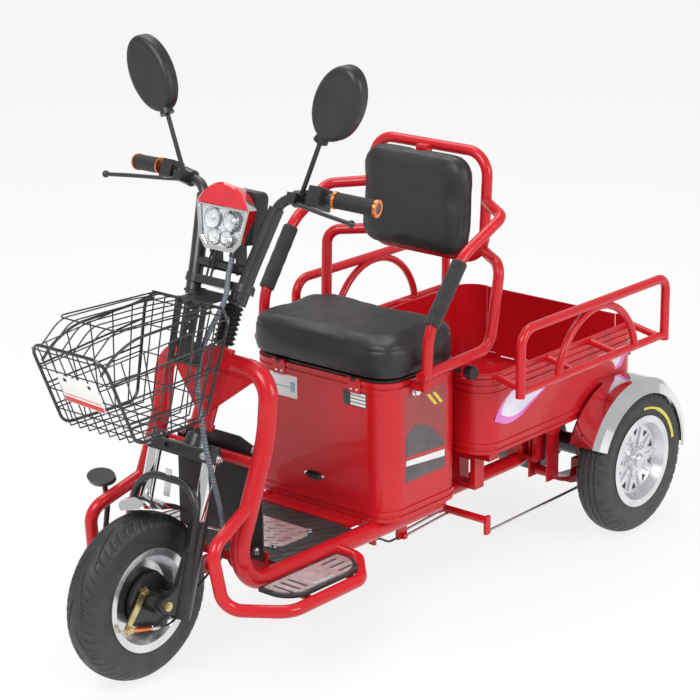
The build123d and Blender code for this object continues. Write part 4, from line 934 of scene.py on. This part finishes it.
def fender_lip(name, side):
    """A rolled lip along a rear fender's outer edge."""
    lip_radius, edge_radius, edge_y = 0.0024, 0.1690, 0.3556
    start, arc = radians(22), radians(160)
    points = []
    for turn in [step * pi / 4 for step in range(8)]:
        points.append(on_rear_wheel(edge_radius + lip_radius * cos(turn), start,
                                    side * (edge_y + lip_radius * sin(turn))))
    return spun(name, points, rear_axle, (0, 1, 0), 60, angle=arc)


rim_bolt_ring = 0.0435
rim_face, cap_face = 0.0172, 0.0300
for side_name, side in both_sides:
    wheel = f"rear_wheel_{side_name}"
    outer_way = left_way * side
    rim_y, cap_y = side * (rear_half_track + rim_face), side * (rear_half_track + cap_face)
    rim_seats = [(on_rear_wheel(rim_bolt_ring, 2 * pi * step / 5, rim_y), outer_way) for step in range(5)]
    cap_seat = (on_rear_wheel(0, 0, cap_y), outer_way)
    spread(bolt, f"Rim_Bolts_{side_name}", rim_seats, wheel, bright_zinc)
    spread(hub_cap, f"Hub_Cap_{side_name}", [cap_seat], wheel, cast_rim)
for side_name, side in both_sides:
    finish_piece(tyre_mark(f"Tyre_Mark_{side_name}", side), f"rear_wheel_{side_name}", yellow_mark)

fender_radius = 0.2019
fender_seats = []
for side_name, side in both_sides:
    finish_piece(fender_lip(f"Fender_Lip_{side_name}", side), "chassis", fender_chrome)
    for turn, y in ((30, 0.300), (156, 0.300), (156, 0.322)):
        way = Vector((cos(radians(turn)), 0, sin(radians(turn))))
        fender_seats.append((on_rear_wheel(fender_radius, radians(turn), side * y), way))
spread(screw, "Fender_Screws", fender_seats, "chassis", black_plastic)


def rod_finish(name, start, end, radius):
    """A bright tube over a rod's visible run."""
    start, end = Vector(start), Vector(end)
    length = (end - start).length
    edge = 0.0008
    profile = [(radius - edge, 0), (radius, edge), (radius, length - edge), (radius - edge, length)]
    return set_down(lathed(name, profile, 20), start, end - start)


def along_barrel(share):
    """A point on the front brake's rod, from its front end to the cable's end."""
    return Vector((0.752, 0.050, 0.139)).lerp(Vector((0.668, 0.050, 0.119)), share)


def floor_lip(side):
    """A rubber lip that closes the floor up to its side rail."""
    height, thickness = 0.2050, 0.0034
    corners = [(x, y, height) for x, y in rectangle(0.165, 0.413, side * 0.1262, side * 0.1492)]
    return plate("Floor_Lip", corners, (0, 0, thickness), 0.0008)


rods = []
for y in (0.246, -0.246):
    rods.append(rod_finish("Long_Rod", (-0.203, y, 0.1161), (-0.598, y, 0.1219), 0.0033))
for y in (0.118, 0.138):
    rods.append(rod_finish("Short_Rod", (-0.038, y, 0.1285), (-0.178, y, 0.1374), 0.0033))
finish_piece(joined("Brake_Rods_Zinc", rods), "chassis", bright_zinc)
barrel = rod_finish("Brake_Barrel", along_barrel(0.16), along_barrel(0.68), 0.0053)
finish_piece(barrel, "steering", copper)
adjuster = rod_finish("Brake_Adjuster", along_barrel(0.72), along_barrel(0.94), 0.0058)
finish_piece(adjuster, "steering", bright_zinc)
finish_piece(joined("Floor_Lips", [floor_lip(1), floor_lip(-1)]), "chassis", floor_rubber)

# ---------------- labels, panels and plates
box_front = 0.1066
box_wall = 0.200
bed_wall = 0.260
over = 0.0003
label_thickness = 0.0006
sheet_thickness = 0.0007
sunk = 0.0005


def front_label(name, y_span, z_span, proud, material):
    """A thin sticker on the seat box's front."""
    corners = [(box_front + proud, y, z) for y, z in rectangle(*y_span, *z_span)]
    finish_piece(plate(name, corners, (label_thickness, 0, 0), 0.0002), "chassis", material)


front_label("Blank_Label_White", (-0.142, -0.060), (0.448, 0.500), 0, label_white)
front_label("Blank_Label_Stripe", (-0.136, -0.084), (0.470, 0.473), over, label_blue)
front_label("Blank_Label_Square", (-0.080, -0.066), (0.462, 0.486), over, label_blue)
front_label("Blank_Table_Black", (0.076, 0.142), (0.468, 0.502), 0, label_black)
for row in range(4):
    low = 0.4700 + row * 0.008
    front_label(f"Blank_Table_Row_{row}", (0.097, 0.140), (low, low + 0.006), over, label_white)


def bow(start, end, lift, count=9):
    """Points on a smooth bow from one point to the next, its end left out."""
    start, end = Vector(start), Vector(end)
    way = end - start
    off = Vector((-way.y, way.x)) * lift
    return [start + way * (step / count) + off * sin(pi * step / count) for step in range(count)]


def swoosh(tip, peak, heel, far):
    """A leaf shape between four named points."""
    return bow(tip, peak, -0.10) + bow(peak, far, 0.05) + bow(far, heel, 0.02) + bow(heel, tip, -0.12)


# Thin sheets on both flanks: name, wall, how many sheets lie under it, finish, outline as x and z
flank_sheets = [
    ("Side_Panel", box_wall, 0, panel_red, rectangle(-0.098, 0.046, 0.290, 0.490)),
    ("Side_Panel_Shade", box_wall, 1, panel_grey,
     [(-0.094, 0.294), (0.042, 0.294), (0.042, 0.398), (0.012, 0.420), (-0.040, 0.404), (-0.094, 0.352)]),
    ("Side_Panel_Band", box_wall, 2, label_white,
     [(-0.094, 0.318), (0.042, 0.330), (0.042, 0.342), (-0.094, 0.334)]),
    ("Side_Panel_Stripe", box_wall, 2, red_band,
     [(-0.094, 0.336), (0.042, 0.344), (0.042, 0.350), (-0.094, 0.343)]),
    ("Side_Panel_Chevrons", box_wall, 2, yellow_mark,
     [(-0.088, 0.448), (-0.060, 0.478), (-0.050, 0.478), (-0.078, 0.448)]),
    ("Side_Panel_Chevron_Low", box_wall, 2, yellow_mark,
     [(-0.068, 0.448), (-0.040, 0.478), (-0.030, 0.478), (-0.058, 0.448)]),
    ("Bed_Swoosh_Edge", bed_wall, 0, magenta_decal,
     swoosh((-0.200, 0.384), (-0.262, 0.440), (-0.300, 0.372), (-0.452, 0.436))),
    ("Bed_Swoosh", bed_wall, 1, lilac_decal,
     swoosh((-0.222, 0.394), (-0.266, 0.440), (-0.306, 0.384), (-0.446, 0.436))),
    ("Bed_Swoosh_Rear_Edge", bed_wall, 0, magenta_decal,
     [(-0.738, 0.440), (-0.700, 0.392), (-0.676, 0.388), (-0.668, 0.404), (-0.640, 0.440)]),
    ("Bed_Swoosh_Rear", bed_wall, 1, lilac_decal,
     [(-0.716, 0.440), (-0.690, 0.402), (-0.674, 0.396), (-0.662, 0.412), (-0.600, 0.440)]),
]
for side_name, side in both_sides:
    for name, wall, layer, material, outline in flank_sheets:
        y = side * (wall - sunk + layer * over)
        sheet = plate(f"{name}_{side_name}", [(x, y, z) for x, z in outline], (0, side * sheet_thickness, 0))
        finish_piece(sheet, "chassis", material)


def charging_socket():
    """An oval socket low on the seat box, with a hollow face."""
    end_radius, half_run, middle_y, height = 0.0095, 0.012, -0.012, 0.280
    outline = []
    for run, first in ((half_run, -90), (-half_run, 90)):
        for way in [radians(first + step * 22.5) for step in range(9)]:
            outline.append((0.1064, middle_y + run + end_radius * cos(way), height + end_radius * sin(way)))
    socket = plate("Charging_Socket", outline, (0.0036, 0, 0), 0.0008)
    edit(socket)
    select_faces(socket, lambda normal: normal.x > 0.9)
    bpy.ops.mesh.inset(thickness=0.0022, depth=-0.0016)
    leave_edit()
    return socket


finish_piece(charging_socket(), "chassis", black_plastic)
socket_seats = [((0.1072, y, 0.280), front_way) for y in (-0.0375, 0.0135)]
spread(screw, "Socket_Screws", socket_seats, "chassis", chrome)
spread(ball_lock, "Ball_Lock_Left", [((0.012, 0.200, 0.497), left_way)], "chassis", chrome)

basket_foot = Vector((0.766, 0, 0.559))
basket_rise = (Vector((0.848, 0, 0.750)) - basket_foot).normalized()
basket_out = Vector((basket_rise.z, 0, -basket_rise.x))


def on_basket_front(left, up, proud):
    """A point on the basket's sloping front, from the number plate's middle, in metres."""
    return basket_foot + basket_rise * (up + 0.106) + left_way * left + basket_out * (proud + 0.0040)


def plate_sheet(name, left_low, left_high, low, high, proud, thickness, material, lean=-0.06):
    """A rectangle on the basket's front, turned a little in its own plane."""
    points = [on_basket_front(left * cos(lean) - up * sin(lean), left * sin(lean) + up * cos(lean), proud)
              for left, up in rectangle(left_low, left_high, low, high)]
    finish_piece(plate(name, points, basket_out * thickness, 0.0004), "steering", material)


plate_sheet("Number_Plate_Blank", -0.056, 0.056, -0.035, 0.035, -0.0012, 0.0014, white_enamel)
plate_sheet("Number_Plate_Band", -0.054, 0.054, -0.033, -0.020, 0.0001, 0.0004, red_band)
plate_sheet("Number_Plate_Frame", -0.050, 0.050, -0.014, -0.012, 0.0001, 0.0004, red_band)
hole_places = ((-0.034, 0.028), (0.034, 0.024))
hole_seats = [(on_basket_front(left, up, 0.0004), basket_out) for left, up in hole_places]
spread(screw, "Number_Plate_Holes", hole_seats, "steering", black_plastic)

# ---------------- headlamp
lamp_origin = Vector((0.399, 0.0, 0.932))
lamp_up = Vector((-23, 0, 136)).normalized()
lamp_out = Vector((136, 0, 23)).normalized()
bowl_depth = 0.0042
wide_bowl, small_bowl = 0.0215, 0.0165
bowl_seats = ((wide_bowl, 27, -3), (wide_bowl, -27, -3), (small_bowl, 18, -40), (small_bowl, -18, -40))


def on_lamp(left, up, out):
    """A point on the lamp's face, in millimetres from its middle."""
    return lamp_origin + left_way * (left / 1000) + lamp_up * (up / 1000) + lamp_out * (out / 1000)


def lamp_sheet(name, inset, out, thickness):
    outline = [(-66, 20), (-53.5, -41.5), (-35.5, -59.5), (35.5, -59.5), (53.5, -41.5), (66, 20)]
    points = [on_lamp(left * inset, (up + 20) * inset - 20, out) for left, up in outline]
    return plate(name, points, lamp_out * (thickness / 1000), 0.0006)


def make_bowl(radius):
    """A fluted reflector dish with a bulb in its middle, opening along +Z."""
    dish = ((0.82, 0.62), (0.55, 0.30), (0.30, 0.16), (0.24, 0.62), (0.14, 0.90), (0, 0.95))
    profile = [(radius, 0), (radius, bowl_depth), (radius - 0.0012, bowl_depth)]
    profile += [(radius * out, bowl_depth * up) for out, up in dish]
    bowl = lathed("Lamp_Bowl", profile, 48)

    def flute(place, normal):
        flat = Vector((place.x, place.y))
        if radius * 0.5 < flat.length < radius * 0.9:
            return Vector((0, 0, 0.0005 * sin(16 * Vector((1, 0)).angle_signed(flat))))
        return Vector()

    reshape(bowl, flute)
    return bowl


def make_ring(radius):
    """A bright rim round a bowl, a little deeper than it."""
    return lathed("Lamp_Ring", rectangle(radius - 0.0004, radius + 0.0007, 0, 0.0046), 40, closed=True)


cover = lamp_sheet("Headlamp_Cover", 1.0, -0.4, 1.4)
finish_piece(cover, "steering", clear_lens, ["headlamp_lens"])
backing = lamp_sheet("Headlamp_Backing", 0.99, -6.2, 0.8)
finish_piece(backing, "steering", lamp_silver)
bowl_of = {radius: make_bowl(radius) for radius in (wide_bowl, small_bowl)}
ring_of = {radius: make_ring(radius) for radius in (wide_bowl, small_bowl)}
bowls = []
rings = []
for radius, left, up in bowl_seats:
    seat = on_lamp(left, up, -5.6)
    bowls.append(copy_of(bowl_of[radius], "Lamp_Bowl_Set", seat, lamp_out))
    rings.append(copy_of(ring_of[radius], "Lamp_Ring_Set", seat, lamp_out))
finish_piece(joined("Headlamp_Reflectors", bowls), "steering", lamp_silver)
finish_piece(joined("Headlamp_Rings", rings), "steering", lamp_grey)
for template in (bolt, rivet, screw, hub_cap, ball_lock, *bowl_of.values(), *ring_of.values()):
    pick(template)
    bpy.ops.object.delete()


# ---------------- stage and light
floor_glow = 0.82
room_light = 0.55


def seen_by(tree, *kinds):
    """1 for the named kinds of ray and 0 for the others."""
    path = add_node(tree, "LightPath").outputs
    total = path[kinds[0]]
    for kind in kinds[1:]:
        total = calculated(tree, "ADD", total, path[kind], use_clamp=True)
    return total


def build_floor():
    """A wide pale floor, almost as bright to the camera and to shiny parts as the backdrop."""
    clear_selection()
    bpy.ops.mesh.primitive_plane_add(size=60, location=(0, 0, 0))
    floor = bpy.context.object
    floor.name = "Floor"
    material = new_material("Pale_Floor")
    tree = material.node_tree
    tree.nodes.clear()
    seen = seen_by(tree, "Is Camera Ray", "Is Glossy Ray", "Is Transmission Ray")
    share = calculated(tree, "MULTIPLY", seen, floor_glow)
    diffuse = add_node(tree, "BsdfDiffuse", {"Color": (0.86, 0.86, 0.86, 1)}).outputs["BSDF"]
    glow = add_node(tree, "Emission", {"Color": (1, 1, 1, 1), "Strength": 1.0}).outputs["Emission"]
    mix = add_node(tree, "MixShader", {"Fac": share, 1: diffuse, 2: glow})
    add_node(tree, "OutputMaterial", {"Surface": mix.outputs["Shader"]})
    floor.data.materials.append(material)


def build_backdrop():
    """White to the camera, and a softer white that lights the object."""
    world = bpy.data.worlds.new("Studio")
    bpy.context.scene.world = world
    world.use_nodes = True
    tree = world.node_tree
    tree.nodes.clear()
    seen = seen_by(tree, "Is Camera Ray", "Is Transmission Ray")
    room, backdrop = [add_node(tree, "Background", {"Strength": strength, "Color": (1, 1, 1, 1)}).outputs[0]
                      for strength in (room_light, 1.0)]
    mix = add_node(tree, "MixShader", {"Fac": seen, 1: room, 2: backdrop})
    add_node(tree, "OutputWorld", {"Surface": mix.outputs["Shader"]})


def softbox(name, place, aim, size, power):
    bpy.ops.object.light_add(type="AREA", location=place)
    lamp = bpy.context.object
    lamp.name = name
    lamp.data.size = size
    lamp.data.energy = power
    lamp.rotation_mode = "QUATERNION"
    lamp.rotation_quaternion = (Vector(place) - Vector(aim)).to_track_quat("Z", "Y")


build_floor()
build_backdrop()
softbox("Key_Light", (3.2, 0.6, 3.6), (0, 0, 0.4), 2.2, 120)
softbox("Side_Light", (-0.6, 4.2, 2.2), (0, 0, 0.5), 2.0, 70)
softbox("Top_Light", (-0.8, -1.4, 4.2), (-0.2, 0, 0.4), 2.6, 70)

# ---------------- view transform
bpy.context.scene.view_settings.view_transform = "Standard"
